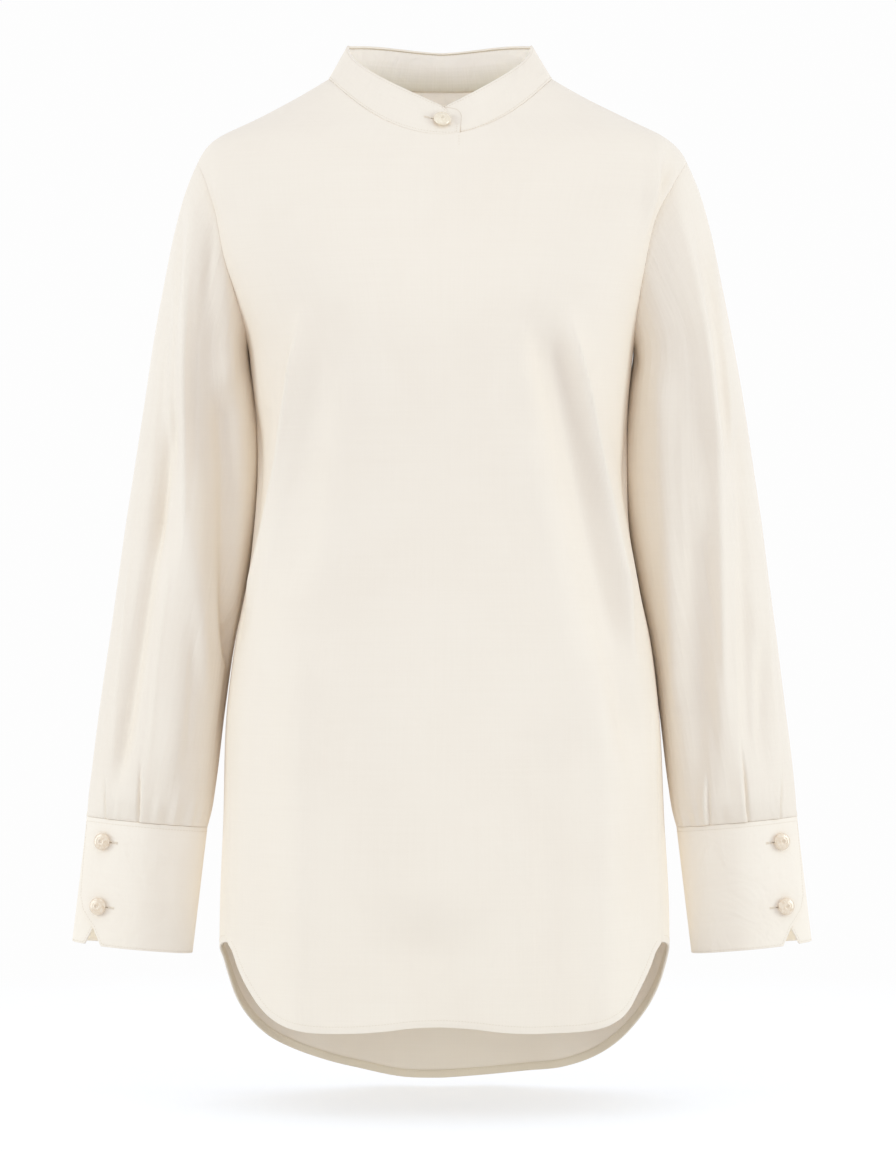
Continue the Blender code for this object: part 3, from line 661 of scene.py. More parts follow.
# %% The weave
THREADS_PER_METRE = 1800.0
SLUBS = ((900.0, 14.0), (12.0, 700.0))  # thicker threads, as noise stretched along warp and weft


def group_with(name, inputs, outputs):
    """A node group. An input without a number is a vector, and each output is a number."""
    group = bpy.data.node_groups.new(name, "ShaderNodeTree")
    for title, value in inputs.items():
        kind = "NodeSocketVector" if value is None else "NodeSocketFloat"
        socket = group.interface.new_socket(name=title, in_out="INPUT", socket_type=kind)
        if value is not None:
            socket.default_value = value
    for title in outputs:
        group.interface.new_socket(name=title, in_out="OUTPUT", socket_type="NodeSocketFloat")
    return group, group.nodes.new("NodeGroupInput").outputs, group.nodes.new("NodeGroupOutput")


def poplin_weave_group():
    """Threads over and under, with thicker threads here and there. Height is from 0 to 1."""
    inputs = {"Cloth place": None, "Threads per metre": THREADS_PER_METRE}
    group, given, made = group_with("poplin_weave", inputs, ("Height", "Slub"))
    place = given["Cloth place"]
    split = fill(group, group.nodes.new("ShaderNodeSeparateXYZ"), {"Vector": place}).outputs
    threads = [times(group, split[axis], given["Threads per metre"]) for axis in ("X", "Y")]
    warp, weft = (maths(group, "SINE", times(group, thread, math.pi)) for thread in threads)
    over = maths(group, "GREATER_THAN", times(group, warp, weft), 0.0)
    under = maths(group, "SUBTRACT", 1.0, over)
    shown = ((warp, over), (weft, under))
    raised = [times(group, maths(group, "ABSOLUTE", wave), share) for wave, share in shown]
    slubs = [noise(group, stretched(group, place, *scale), 1.0, 1.0) for scale in SLUBS]
    slub = times(group, plus(group, *slubs), 0.5)
    fill(group, made, {"Height": plus(group, *raised), "Slub": slub})
    return group


poplin_weave = poplin_weave_group()
print("weave group:", [socket.name for socket in poplin_weave.interface.items_tree])

# %% [markdown]
# Ironed cotton is never quite flat. Beside each seam the sewing draws it in, in small puckers that
# die away within a centimetre, and a collar or cuff that has been fastened keeps a few crumples. A
# second group adds both. It reads how far each point lies from its nearest seam, which every cloth
# piece carries as a value of its own.

# %% Puckers and crumples
PUCKER_FROM = 0.0008
PUCKER_TO = 0.0100
PUCKERS = (170.0, 1.0, 0.4)  # scale, detail and distortion of each noise
CRUMPLES = (26.0, 2.0, 1.6)
STREAKS = (1.0, 2.0, 0.4)
STREAKS_STRETCHED = (120.0, 7.0)
TONES = (9.0, 3.0, 0.6)


def ironed_cloth_group():
    inputs = {"Cloth place": None, "Object place": None, "Seam distance": 0.0}
    inputs |= {"Pucker": 0.0, "Crumple": 0.0, "Streak": 0.0}
    group, given, made = group_with("ironed_cloth", inputs, ("Height", "Tone"))
    place = given["Object place"]

    def relief(pattern, strength):
        """Noise from 0 to 1 as a height on both sides of zero."""
        return times(group, maths(group, "SUBTRACT", pattern, 0.5), strength)

    near = remapped(group, given["Seam distance"], 1.0, 0.0, PUCKER_FROM, PUCKER_TO)
    pucker = times(group, relief(noise(group, place, *PUCKERS), near), given["Pucker"])
    crumple = relief(noise(group, place, *CRUMPLES), given["Crumple"])
    along = stretched(group, given["Cloth place"], *STREAKS_STRETCHED)
    streak = relief(noise(group, along, *STREAKS), given["Streak"])
    height = plus(group, pucker, plus(group, crumple, streak))
    fill(group, made, {"Height": height, "Tone": noise(group, place, *TONES)})
    return group


ironed_cloth = ironed_cloth_group()
print("ironing group:", [socket.name for socket in ironed_cloth.interface.items_tree])

# %% [markdown]
# Each cloth material mixes two near shades of ivory by the tone and the slubs, and paints the raised
# threads a little lighter, a painted highlight on the weave. It adds the heights of weave, puckers
# and crumples, and turns them into one bump. Sheen stands for the fine fibre ends. The sleeves also
# get long streaks, as pressed sleeves do. The collar's facing is painted lighter upwards and darker
# at its foot, painted light and shade, as more light falls into the top of the neck. The cuffs get a
# lighter copy of the ivory, painted light, and the hem's turning a darker one, painted shade.

# %% Cloth materials
TONE_START = -0.1
TONE_SHARE = 0.7
SLUB_SHARE = 0.5
# how much lighter the raised threads are painted: a painted highlight on the weave
THREAD_TOP_HIGHLIGHT = 0.12
FINE_WEAVE = 0.000020
COARSE_WEAVE = 0.000035


def placed_group(tree, group, inputs):
    node = tree.nodes.new("ShaderNodeGroup")
    node.node_tree = group
    return fill(tree, node, inputs).outputs


def cloth_material(name, deep, pale, pucker, crumple, streak=0.0, raised=FINE_WEAVE, painted_light_rise=0.0):
    """Heights are in metres. painted_light_rise is how much the tone rises with each metre up the
    cloth: painted light, lighter upwards.
    """
    material, tree, shader = new_material(name)
    place = tree.nodes.new("ShaderNodeTexCoord").outputs
    seam = tree.nodes.new("ShaderNodeAttribute")
    seam.attribute_name = "seam_distance"
    weave = placed_group(tree, poplin_weave, {"Cloth place": place["UV"]})
    ironed = placed_group(tree, ironed_cloth, {
        "Cloth place": place["UV"],
        "Object place": place["Object"],
        "Seam distance": seam.outputs["Fac"],
        "Pucker": pucker,
        "Crumple": crumple,
        "Streak": streak,
    })
    tone = plus(tree, times(tree, ironed["Tone"], TONE_SHARE), TONE_START)
    tone = plus(tree, tone, times(tree, weave["Slub"], SLUB_SHARE))
    # Painted highlight: the raised threads of the weave are painted lighter.
    tone = plus(tree, tone, times(tree, weave["Height"], THREAD_TOP_HIGHLIGHT))
    # Painted light and shade: the tone rises with height on the cloth, so the facing is darker at its
    # foot.
    if painted_light_rise:
        split = fill(tree, tree.nodes.new("ShaderNodeSeparateXYZ"), {"Vector": place["UV"]})
        rise = times(tree, split.outputs["Y"], painted_light_rise)
        tone = plus(tree, tone, maths(tree, "SUBTRACT", rise, 0.5))
    threads = [times(tree, weave[part], raised) for part in ("Height", "Slub")]
    fill(tree, shader, {
        "Base Color": mixed_colour(tree, tone, deep, pale),
        "Roughness": 0.82,
        "Specular IOR Level": 0.28,
        "Sheen Weight": 0.12,
        "Sheen Roughness": 0.45,
        "Normal": bumped(tree, plus(tree, plus(tree, *threads), ironed["Height"]), 1.0),
    })
    return material


IVORY = ((0.850, 0.763, 0.648), (0.912, 0.840, 0.730))
# Painted light: a lighter copy of the ivory for the cuffs.
CUFF_PAINTED_LIGHT_IVORY = ((0.908, 0.820, 0.700), (0.962, 0.896, 0.784))
# Painted shade: a darker ivory for the facing's foot, which the painted rise lightens upwards.
FACING_PAINTED_SHADE_IVORY = ((0.660, 0.595, 0.460), (0.920, 0.855, 0.765))
# Painted shade: a darker copy of the ivory for the turning inside the hem.
HEM_PAINTED_SHADE_IVORY = ((0.746, 0.660, 0.522), (0.849, 0.765, 0.624))
ivory_poplin = cloth_material(
    "ivory_poplin", *IVORY, pucker=0.00030, crumple=0.00030, streak=0.00010
)
sleeve_poplin = cloth_material(
    "sleeve_poplin", *IVORY, pucker=0.00035, crumple=0.00040, streak=0.00075
)
ivory_band = cloth_material("ivory_band", *IVORY, pucker=0.00060, crumple=0.00260)
cuff_poplin_painted_light = cloth_material("cuff_poplin_painted_light", *CUFF_PAINTED_LIGHT_IVORY, pucker=0.00040, crumple=0.00130)
facing_poplin_painted_shade = cloth_material(
    "facing_poplin_painted_shade", *FACING_PAINTED_SHADE_IVORY, pucker=0.00060, crumple=0.00260, painted_light_rise=42.0
)
hem_poplin_painted_shade = cloth_material(
    "hem_poplin_painted_shade", *HEM_PAINTED_SHADE_IVORY, pucker=0.00030, crumple=0.00030, raised=COARSE_WEAVE
)
print("cloth:", ivory_poplin.name, ivory_band.name, hem_poplin_painted_shade.name)

# %% [markdown]
# Sewing thread is a twisted yarn, so it gets a fine fibrous grain and a slight shine. Narrow
# shadows, such as the slit of a buttonhole or the ditch of a seam, are only gaps between two edges
# of cloth. They are painted shadow here: warm lines of a darker shade of the same finish.

# %% Thread and shadow lines
TWIST = 2600.0
TWIST_BUMP = 0.00004


def thread_and_shadow_material(name, deep, pale, roughness=0.9):
    material, tree, shader = new_material(name)
    place = tree.nodes.new("ShaderNodeTexCoord").outputs["Object"]
    twist = noise(tree, stretched(tree, place, TWIST, TWIST), 1.0, 1.0)
    fill(tree, shader, {
        "Base Color": mixed_colour(tree, twist, deep, pale),
        "Roughness": roughness,
        "Sheen Weight": 0.1,
        "Normal": bumped(tree, twist, TWIST_BUMP),
    })
    return material


sewing_thread = thread_and_shadow_material("sewing_thread", (0.663, 0.560, 0.419), (0.787, 0.690, 0.549), 0.55)
hole_thread = thread_and_shadow_material("hole_thread", (0.818, 0.720, 0.577), (0.920, 0.840, 0.707), 0.55)
# Painted shadow: the next three are dark lines laid where there is only shade, in seam ditches,
# beside the lap's end and in buttonhole slits.
seam_shadow = thread_and_shadow_material("seam_shadow", (0.540, 0.440, 0.310), (0.640, 0.540, 0.400))
edge_shadow = thread_and_shadow_material("edge_shadow", (0.700, 0.600, 0.470), (0.780, 0.680, 0.550))
slit_shadow = thread_and_shadow_material("slit_shadow", (0.200, 0.140, 0.085), (0.300, 0.220, 0.140))
print("thread:", sewing_thread.name, hole_thread.name, slit_shadow.name)

# %% [markdown]
# Pearl buttons are moulded with fine layers of pigment that drift like cloud inside a clear skin.
# Two scales of noise drift between champagne and white, and a thin clear coat gives the shine.

# %% Pearl
PEARL_CLOUDS = (260.0, 3.0, 2.2)
PEARL_GRAIN = (1400.0, 1.0, 0.5)
PEARL_BUMP = 0.00002
CLOUD_START = -0.25
CLOUD_SHARE = 1.3
SPECK_SHARE = 0.12
PEARL_SMOOTH = 0.16
PEARL_ROUGHER = 0.14


def pearl_material(name, deep, pale):
    material, tree, shader = new_material(name)
    place = tree.nodes.new("ShaderNodeTexCoord").outputs["Object"]
    cloud, speck = noise(tree, place, *PEARL_CLOUDS), noise(tree, place, *PEARL_GRAIN)
    drift = plus(tree, times(tree, cloud, CLOUD_SHARE), CLOUD_START)
    drift = plus(tree, drift, times(tree, speck, SPECK_SHARE))
    fill(tree, shader, {
        "Base Color": mixed_colour(tree, drift, deep, pale),
        "Roughness": plus(tree, PEARL_SMOOTH, times(tree, speck, PEARL_ROUGHER)),
        "Specular IOR Level": 0.6,
        "Coat Weight": 1.0,
        "Coat Roughness": 0.04,
        "Normal": bumped(tree, cloud, PEARL_BUMP),
    })
    return material


champagne_pearl = pearl_material("champagne_pearl", (0.690, 0.510, 0.320), (0.975, 0.890, 0.760))
cream_pearl = pearl_material("cream_pearl", (0.760, 0.620, 0.420), (0.975, 0.905, 0.765))
print("pearl:", champagne_pearl.name, cream_pearl.name)

# %% [markdown]
# ## Cutting and sewing helpers
#
# Every cloth piece starts as a flat grid, as cloth starts as a flat length. Each point remembers
# where it lies across and up the grid, and is then moved to its place on the shirt.

# %% A grid of cloth
def cloth_grid(columns, rows, place):
    """A bmesh grid laid by place(across, up), with both values kept on every point."""
    builder = bmesh.new()
    across = builder.verts.layers.float.new("across")
    up = builder.verts.layers.float.new("up")
    bmesh.ops.create_grid(builder, x_segments=columns, y_segments=rows, size=0.5)
    for vertex in builder.verts:
        vertex[across], vertex[up] = vertex.co.x + 0.5, vertex.co.y + 0.5
        vertex.co = place(vertex[across], vertex[up])
    return builder, across, up


def near_points(lines):
    """A search tree over the points of seam lines."""
    points = [point for line in lines for point in line]
    tree = KDTree(len(points))
    for number, point in enumerate(points):
        tree.insert(point, number)
    tree.balance()
    return tree


SEAM_REACH = 0.05  # farther from a seam than this, cloth is the same everywhere
WELD = 1e-6
TURNED_ANGLE = 62.0


def keep_seam_distance(builder, lines):
    """Gives each point its distance from the nearest of these seam lines."""
    layer = builder.verts.layers.float.new("seam_distance")
    seams = near_points(lines)
    for vertex in builder.verts:
        vertex[layer] = min(seams.find(vertex.co)[2], SEAM_REACH)


def keep_thread_lines(builder, thread_place):
    """Gives each face corner its place along weft and warp, in metres, as a UV map."""
    layer = builder.loops.layers.uv.new("threads")
    for face in builder.faces:
        for loop in face.loops:
            loop[layer].uv = thread_place(loop.vert)


def rim(place, long_steps, end_steps=0):
    """The two long edges of a strip as close points, and its two ends if they have steps."""
    long_shares = [step / long_steps for step in range(long_steps + 1)]
    lines = [[place(share, up) for share in long_shares] for up in (0.0, 1.0)]
    if end_steps:
        end_shares = [step / end_steps for step in range(end_steps + 1)]
        lines += [[place(across, share) for share in end_shares] for across in (0.0, 1.0)]
    return lines


def strip(place, grid, flat, seams, reverse=False, closed=False):
    """A grid of columns by rows laid by place, with its threads on a flat size and its seams."""
    builder, across, up = cloth_grid(*grid, place)
    keep_thread_lines(builder, lambda vertex: (flat[0] * vertex[across], flat[1] * vertex[up]))
    if closed:
        bmesh.ops.remove_doubles(builder, verts=builder.verts, dist=WELD)
    keep_seam_distance(builder, seams)
    if reverse:
        bmesh.ops.reverse_faces(builder, faces=builder.faces)
    return builder


def finished(name, builder, material, node=None):
    """A finished piece of the shirt, which replaces the node's solid if one is named."""
    piece = in_scene(name, builder, material)
    piece.data.shade_smooth()
    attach(piece, "root")
    if node:
        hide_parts(node)
    return piece


def walled(name, builder, material, wall, edge_round, node=None):
    """A finished piece whose wall grows inwards, with a small rounding at its turned edges."""
    area = sum(face.calc_area() for face in builder.faces)
    print(f"{name}: {len(builder.verts)} points, {area:.4f} square metres")
    piece = finished(name, builder, material, node)
    thick = piece.modifiers.new("wall", "SOLIDIFY")
    thick.thickness = wall
    thick.offset = -1.0
    thick.use_quality_normals = True
    turned = piece.modifiers.new("turned_edge", "BEVEL")
    turned.width = edge_round
    turned.segments = 2
    turned.limit_method = "ANGLE"
    turned.angle_limit = math.radians(TURNED_ANGLE)
    return piece


print("helpers: grid, seam distance, thread lines, strip, wall")

# %% [markdown]
# ## Front and back
#
# The two panels are relaxed like cloth pulled even on a form: the inside points drift towards the
# middle of their neighbours while the seams stay put. Then each square of the grid is cut into 36
# in front and 16 at the back, and the folds lift it. They die away at the seams, where two pieces
# have to meet.

# %% Lay a panel
RELAX_ROUNDS = 8
RELAX_STEPS = 8
LAST_RELAX_STEPS = 6
PANEL_CUTS = {True: 5, False: 3}  # by forward: the front has the finer folds
EDGE_STEPS = 420
PANEL_ROUND = 0.0004
BODY_ROUND = 0.155  # metres of weft for each radian round the body


@functools.lru_cache(maxsize=None)
def panel_edges(forward):
    """The panel's two sides, its top edge and its hem, as close points."""
    shares = [step / EDGE_STEPS for step in range(EDGE_STEPS + 1)]
    sides = [[side_point(side, share, forward) for share in shares] for side, _ in SIDES]
    top = [top_point(forward, share) for share in shares]
    return *sides, top, [hem_point(forward, share) for share in shares]


@functools.lru_cache(maxsize=None)
def sewn_edges(forward):
    return near_points(panel_edges(forward)[:3])


def fold_rise(folds, x, height):
    """How far the folds lift the cloth at this place."""
    rise = 0.0
    for x_top, top, x_low, low, bow, width, fold in folds:
        inside = min(top - height, height - low)
        if inside <= 0.0:
            continue
        share = (top - height) / (top - low)
        middle = mix(x_top, x_low, share) + bow * math.sin(math.pi * share)
        rise += fold * ease(inside / min(FOLD_FADE, (top - low) / 2.0)) * hump(x - middle, width)
    return rise


def panel_lift(point, forward):
    calm = ease(sewn_edges(forward).find(point)[2] / SEAM_CALM)
    return fold_rise(FOLDS[forward], point.x, point.z) * calm


def inside(builder):
    return [vertex for vertex in builder.verts if not vertex.is_boundary]


def relax(builder, verts, steps):
    axes = {f"use_axis_{axis}": True for axis in "xyz"}
    for _ in range(steps):
        bmesh.ops.smooth_vert(builder, verts=verts, factor=0.5, **axes)


def laid_panel(forward):
    place = functools.partial(panel_point, forward)
    columns = neck_columns(forward) + 2 * SHOULDER_COLUMNS
    builder, across, up = cloth_grid(columns, SIDE_SEAM_ROWS + ARMHOLE_ROWS, place)
    inner = inside(builder)
    for _ in range(RELAX_ROUNDS):
        relax(builder, inner, RELAX_STEPS)
        for vertex in inner:
            vertex.co = on_form(vertex.co)
    cuts = PANEL_CUTS[forward]
    bmesh.ops.subdivide_edges(builder, edges=builder.edges[:], cuts=cuts, use_grid_fill=True)
    relax(builder, inside(builder), LAST_RELAX_STEPS)
    for vertex in builder.verts:
        at_edge = vertex.is_boundary
        vertex.co = place(vertex[across], vertex[up]) if at_edge else on_form(vertex.co)
    return builder


def front_threads(vertex):
    return BODY_ROUND * math.radians(turn_of(vertex.co)), vertex.co.z


def back_threads(vertex):
    """The turn jumps at the middle of the back, so the back's threads are laid flat."""
    return vertex.co.x, vertex.co.z


def panel_piece(node, forward, threads):
    builder = laid_panel(forward)
    keep_seam_distance(builder, panel_edges(forward))
    keep_thread_lines(builder, threads)
    for vertex in builder.verts:
        vertex.co = vertex.co + form_normal(vertex.co) * panel_lift(vertex.co, forward)
    if not forward:
        bmesh.ops.reverse_faces(builder, faces=builder.faces)
    return walled(f"{node}_panel", builder, ivory_poplin, CLOTH, PANEL_ROUND, node)


front_panel = panel_piece("front", True, front_threads)
back_panel = panel_piece("back", False, back_threads)

# %% [markdown]
# ## Sleeves
#
# A shirt sleeve is a tube set into the armhole. It widens to the elbow and is pleated into the
# cuff. The table gives its section at each height. Pressed pleats have a sharp edge on one side and
# lie flat on the other, so they get a stepped section of their own, and small gathers fill the
# rest of the seam.

# %% Tables of the sleeves
SLEEVE_COLUMNS = ("height", "outer_right", "outer_left", "inner", "depth", "centre_y", "slope")
SLEEVE_ROWS = (
    (-0.060, 0.1930, 0.1942, 0.1240, 0.038, -0.002, 0.000),
    (-0.072, 0.1988, 0.2000, 0.1250, 0.042, -0.002, 0.000),
    (-0.088, 0.2050, 0.2064, 0.1270, 0.048, -0.002, 0.000),
    (-0.120, 0.2138, 0.2154, 0.1310, 0.057, 0.000, 0.000),
    (-0.160, 0.2220, 0.2236, 0.1400, 0.062, 0.004, 0.000),
    (-0.210, 0.2312, 0.2334, 0.1542, 0.064, 0.009, 0.000),
    (-0.250, 0.2375, 0.2409, 0.1490, 0.065, 0.014, 0.000),
    (-0.320, 0.2490, 0.2522, 0.1452, 0.062, 0.024, 0.020),
    (-0.352, 0.2540, 0.2570, 0.1478, 0.060, 0.025, 0.030),
    (-0.400, 0.2605, 0.2629, 0.1568, 0.056, 0.023, 0.045),
    (-0.448, 0.2668, 0.2688, 0.1669, 0.052, 0.018, 0.060),
    (-0.500, 0.2738, 0.2746, 0.1742, 0.047, 0.011, 0.075),
    (-0.560, 0.2805, 0.2811, 0.1810, 0.039, 0.000, 0.088),
    (-0.580, 0.2826, 0.2826, 0.1840, 0.033, -0.004, 0.092),
    (-0.5925, 0.2832, 0.2832, 0.1872, 0.0225, -0.006, 0.094),
)
BICEPS = -0.250
CUFF_TOP = -0.5925
CAP_ROWS = 24
ARM_ROWS = 70
SLEEVE_ROUND = 288
SLEEVE_FLAT = (0.34, 0.55)
SLEEVE_RIM_STEPS = 360
ROW_CROWDING = 0.35
INNER_FULLNESS = 0.78
FULLER_ABOVE_CUFF = 0.12
FULLER_TOP = -0.12
FULLER_FADE = 0.08

# in mm: x and height at the top, x and height at the foot, bow, half width, rise
SLEEVE_FRONT_FOLDS_RIGHT = millimetres(
    (199.5, -75, 202, -430, 1, 8.5, 5.8),
    (200.3, -66, 202.5, -400, 1, 3, 2.6),
    (208.5, -70, 211.5, -380, 1, 4.6, -2.6),
    (185, -66, 188, -190, 0, 5, -3.4),
    (203, -300, 218, -575, -2, 13, 4.6),
    (187, -90, 179, -320, -1, 11, -3.2),
    (201, -270, 187, -500, 0, 8, 4),
    (170, -230, 170, -540, -1, 11, -10),
    (218, -150, 228, -400, 0, 8, -4.6),
    (210, -250, 261, -580, 0, 8.5, -8.5),
    (211, -360, 234, -570, 2, 2.8, 1.2),
    (246, -360, 264, -560, 0, 3.2, 1.6),
    (198, -130, 196, -300, 0, 3, -0.9),
    (214, -180, 223, -400, 0, 3, 0.8),
    (196, -420, 204, -560, 0, 3.5, -0.9),
    (165, -120, 167, -280, 2, 9, 3.4),
    (196.5, -82, 190, -140, 0, 6, -3),
)
SLEEVE_FRONT_FOLDS_LEFT = millimetres(
    (191, -60, 216, -320, 2, 8, 5.4),
    (191.5, -62, 216.5, -310, 2, 3, 3.2),
    (200.5, -66, 225.5, -330, 2, 4.4, -2.4),
    (210, -74, 233, -300, 1, 3, 1.8),
    (215.5, -250, 223, -540, 1, 7.5, 5.6),
    (215.5, -270, 223, -500, 1, 3.2, 1.6),
    (206, -80, 232, -340, 2, 7, -5),
    (174, -70, 190, -300, 2, 9, -1.2),
    (198, -340, 204, -580, 1, 12, -4.4),
    (236.5, -250, 245, -565, 0, 8.5, -5.2),
    (255.2, -430, 255.2, -570, 0, 7, -5),
    (229, -270, 235, -540, 0, 3, 0.9),
    (156, -130, 154, -250, 0, 9, -5),
    (170, -220, 186, -520, 2, 10, 3),
    (256, -360, 268, -560, 0, 3.5, 1.2),
    (188, -250, 193, -420, 0, 3, 0.8),
    (212, -420, 217, -570, 0, 3.5, -0.9),
)
SLEEVE_BACK_FOLDS_RIGHT = millimetres(
    (195, -110, 222, -560, 2, 11, 4),
    (215, -160, 248, -540, 1, 11, -4.5),
    (170, -200, 188, -520, 0, 11, -4),
    (184, -150, 200, -380, 0, 3.5, 1.1),
    (206, -240, 228, -500, 0, 3.5, 1.1),
    (234, -200, 248, -480, 0, 3.5, 0.9),
)
SLEEVE_BACK_FOLDS_LEFT = millimetres(
    (196, -120, 220, -560, 1, 11, 4.2),
    (217, -180, 250, -540, 2, 11, -4.5),
    (172, -190, 186, -500, 0, 11, -4),
    (186, -140, 201, -400, 0, 3.5, 1.1),
    (209, -250, 231, -520, 0, 3.5, 1),
    (235, -220, 247, -470, 0, 3.5, 0.9),
)
SLEEVE_FOLD_FADE = 0.050
SLEEVE_EDGE_CALM = 0.12  # how soon folds reach their full rise, going round from an outer edge

# turn at the top, turn at the cuff, length, width in degrees, rise
PLEATS_RIGHT = (
    (39, 53, 0.044, 9, 0.0018),
    (80, 86, 0.058, 13, 0.0024),
    (262, 262, 0.056, 12, 0.0022),
    (300, 296, 0.046, 11, 0.0020),
)
PLEATS_LEFT = (
    (37, 50, 0.046, 9, 0.0018),
    (81, 83, 0.076, 13, 0.0024),
    (114, 121, 0.046, 11, 0.0022),
    (262, 262, 0.056, 12, 0.0022),
    (300, 296, 0.046, 11, 0.0020),
)
PLEAT_GROOVE = 1.6  # degrees
PLEAT_EDGE = 2.0
PLEAT_GROOVE_PAST = 0.4
PLEAT_SHARPENS = 1.4
CUFF_LAP_SETTLES = 84.0
CUFF_LAP_BLEND = 40.0
CUFF_LAP_START = 11.0
CUFF_LAP_RISES = 6.0
CUFF_REACH = 0.012  # how far above its seam the cuff shapes the sleeve
CUFF_CALMS = 0.35  # the share of a pleat's rise that the cuff's seam presses flat

# turn, length, width in degrees, rise
GATHERS_RIGHT = (
    (62, 0.022, 3.2, 0.0008),
    (100, 0.034, 4.0, 0.0014),
    (109, 0.026, 3.4, -0.0009),
    (117, 0.040, 4.2, 0.0014),
    (127, 0.022, 3.6, -0.0010),
    (136, 0.034, 4.4, 0.0013),
    (148, 0.024, 4.0, 0.0009),
    (236, 0.030, 4.6, 0.0012),
    (248, 0.022, 4.0, -0.0008),
    (280, 0.034, 4.4, 0.0011),
    (318, 0.026, 4.4, 0.0009),
)
GATHERS_LEFT = (
    (56, 0.022, 3.4, 0.0009),
    (94, 0.028, 3.8, 0.0011),
    (104, 0.022, 3.4, -0.0008),
    (132, 0.030, 4.2, 0.0012),
    (142, 0.022, 3.8, -0.0009),
    (152, 0.026, 4.2, 0.0010),
    (238, 0.028, 4.6, 0.0012),
    (282, 0.032, 4.4, 0.0011),
    (316, 0.026, 4.4, 0.0009),
)
SLEEVE_RELIEF = {
    -1: (SLEEVE_FRONT_FOLDS_RIGHT, SLEEVE_BACK_FOLDS_RIGHT, PLEATS_RIGHT, GATHERS_RIGHT),
    1: (SLEEVE_FRONT_FOLDS_LEFT, SLEEVE_BACK_FOLDS_LEFT, PLEATS_LEFT, GATHERS_LEFT),
}
for side, word in SIDES:
    counts = [len(part) for part in SLEEVE_RELIEF[side]]
    print(word, "front folds, back folds, pleats, gathers:", counts)

# %% [markdown]
# A point of the sleeve is given by a turn round it and a height. The plain section comes first,
# then the lift of folds, pleats and gathers at that place. Towards the armhole the lift fades and
# the ring bends over to meet the armhole's own curve.

# %% Lay a sleeve
def sleeve_section(height, name):
    return smooth_column(SLEEVE_COLUMNS, SLEEVE_ROWS, name, height)


def sleeve_width(side, height):
    """The middle of the sleeve's width at this height, and half of that width."""
    outer = sleeve_section(height, "outer_left" if side > 0 else "outer_right")
    inner = sleeve_section(height, "inner")
    return (outer + inner) / 2.0, (outer - inner) / 2.0


def inner_fullness(height):
    """1 is a plain ellipse. The inner half is squarer where the sleeve lies against the body."""
    above = ease((height - CUFF_TOP) / FULLER_ABOVE_CUFF)
    below = ease((FULLER_TOP - height) / FULLER_FADE)
    return mix(1.0, INNER_FULLNESS, above * below)


def sleeve_ring_point(side, turn, height, lift=0.0):
    """A point of the sleeve's plain section: turn 0 is at its outer edge and 90 at its front."""
    middle, half = sleeve_width(side, height)
    ahead, outward = circle(turn)
    power = inner_fullness(height) if outward < 0.0 else 1.0
    out = (half + lift) * powered(outward, power)
    deep = (sleeve_section(height, "depth") + lift) * powered(ahead, power)
    y = sleeve_section(height, "centre_y") - deep
    rise = sleeve_section(height, "slope") * out
    return Vector((side * (middle + out), y, height + rise))


def turned_off(turn, middle):
    """How many degrees a turn lies past a middle, the short way round."""
    return (turn - middle + 180.0) % 360.0 - 180.0


def pressed_step(offset, width):
    """A pressed pleat in section: a narrow groove, a sharp edge, and a slow fall beyond it."""
    edge = ease((offset + PLEAT_GROOVE) / PLEAT_EDGE)
    fall_off = ease(1.0 - offset / width) if offset > 0.0 else 1.0
    return edge * fall_off - hump(offset + PLEAT_GROOVE + PLEAT_GROOVE_PAST, PLEAT_GROOVE)


def cuff_lap_lift(turn):
    """The lap rides over the hidden end; past it the band comes back down to its own form."""
    over = BAND_CLOTH + LAP_GAP
    return over * (1.0 - ease((turn - CUFF_LAP_SETTLES) / CUFF_LAP_BLEND))


def hanging_folds(side, folds, turn, height):
    """The lift of folds that hang straight. A row says how far out from the middle one hangs."""
    middle, half = sleeve_width(side, height)
    lift = 0.0
    for x_top, top, x_low, low, bow, width, rise in folds:
        inside = min(top - height, height - low)
        if inside <= 0.0:
            continue
        share = (top - height) / (top - low)
        out = (mix(x_top, x_low, share) + bow * math.sin(math.pi * share) - middle) / half
        out = clamp(out, -1.0, 1.0)
        fold_turn = math.acos(powered(out, 1.0 / inner_fullness(height)) if out < 0.0 else out)
        offset = (math.radians(min(turn, 360.0 - turn)) - fold_turn) * half
        lift += rise * ease(inside / SLEEVE_FOLD_FADE) * hump(offset, width)
    return lift


def sleeve_lift(side, turn, height):
    front, back, pleats, gathers = SLEEVE_RELIEF[side]
    lift = hanging_folds(side, front if turn <= 180.0 else back, turn, height)
    lift *= ease(circle(turn)[0] ** 2 / SLEEVE_EDGE_CALM)
    for turn_top, turn_low, length, width, rise in pleats:
        share = (CUFF_TOP + length - height) / length
        if share > 0.0:
            offset = turned_off(turn, mix(turn_top, turn_low, share))
            lift += rise * ease(share * PLEAT_SHARPENS) * pressed_step(offset, width)
    for middle, length, width, rise in gathers:
        share = (CUFF_TOP + length - height) / length
        if share > 0.0:
            lift += rise * ease(share) * hump(turned_off(turn, middle), width)
    near_cuff = 1.0 - ease((height - CUFF_TOP) / CUFF_REACH)
    over_lap = cuff_lap_lift(turn) * ease((turn - CUFF_LAP_START) / CUFF_LAP_RISES)
    return lift * (1.0 - CUFF_CALMS * near_cuff**3) + over_lap * near_cuff


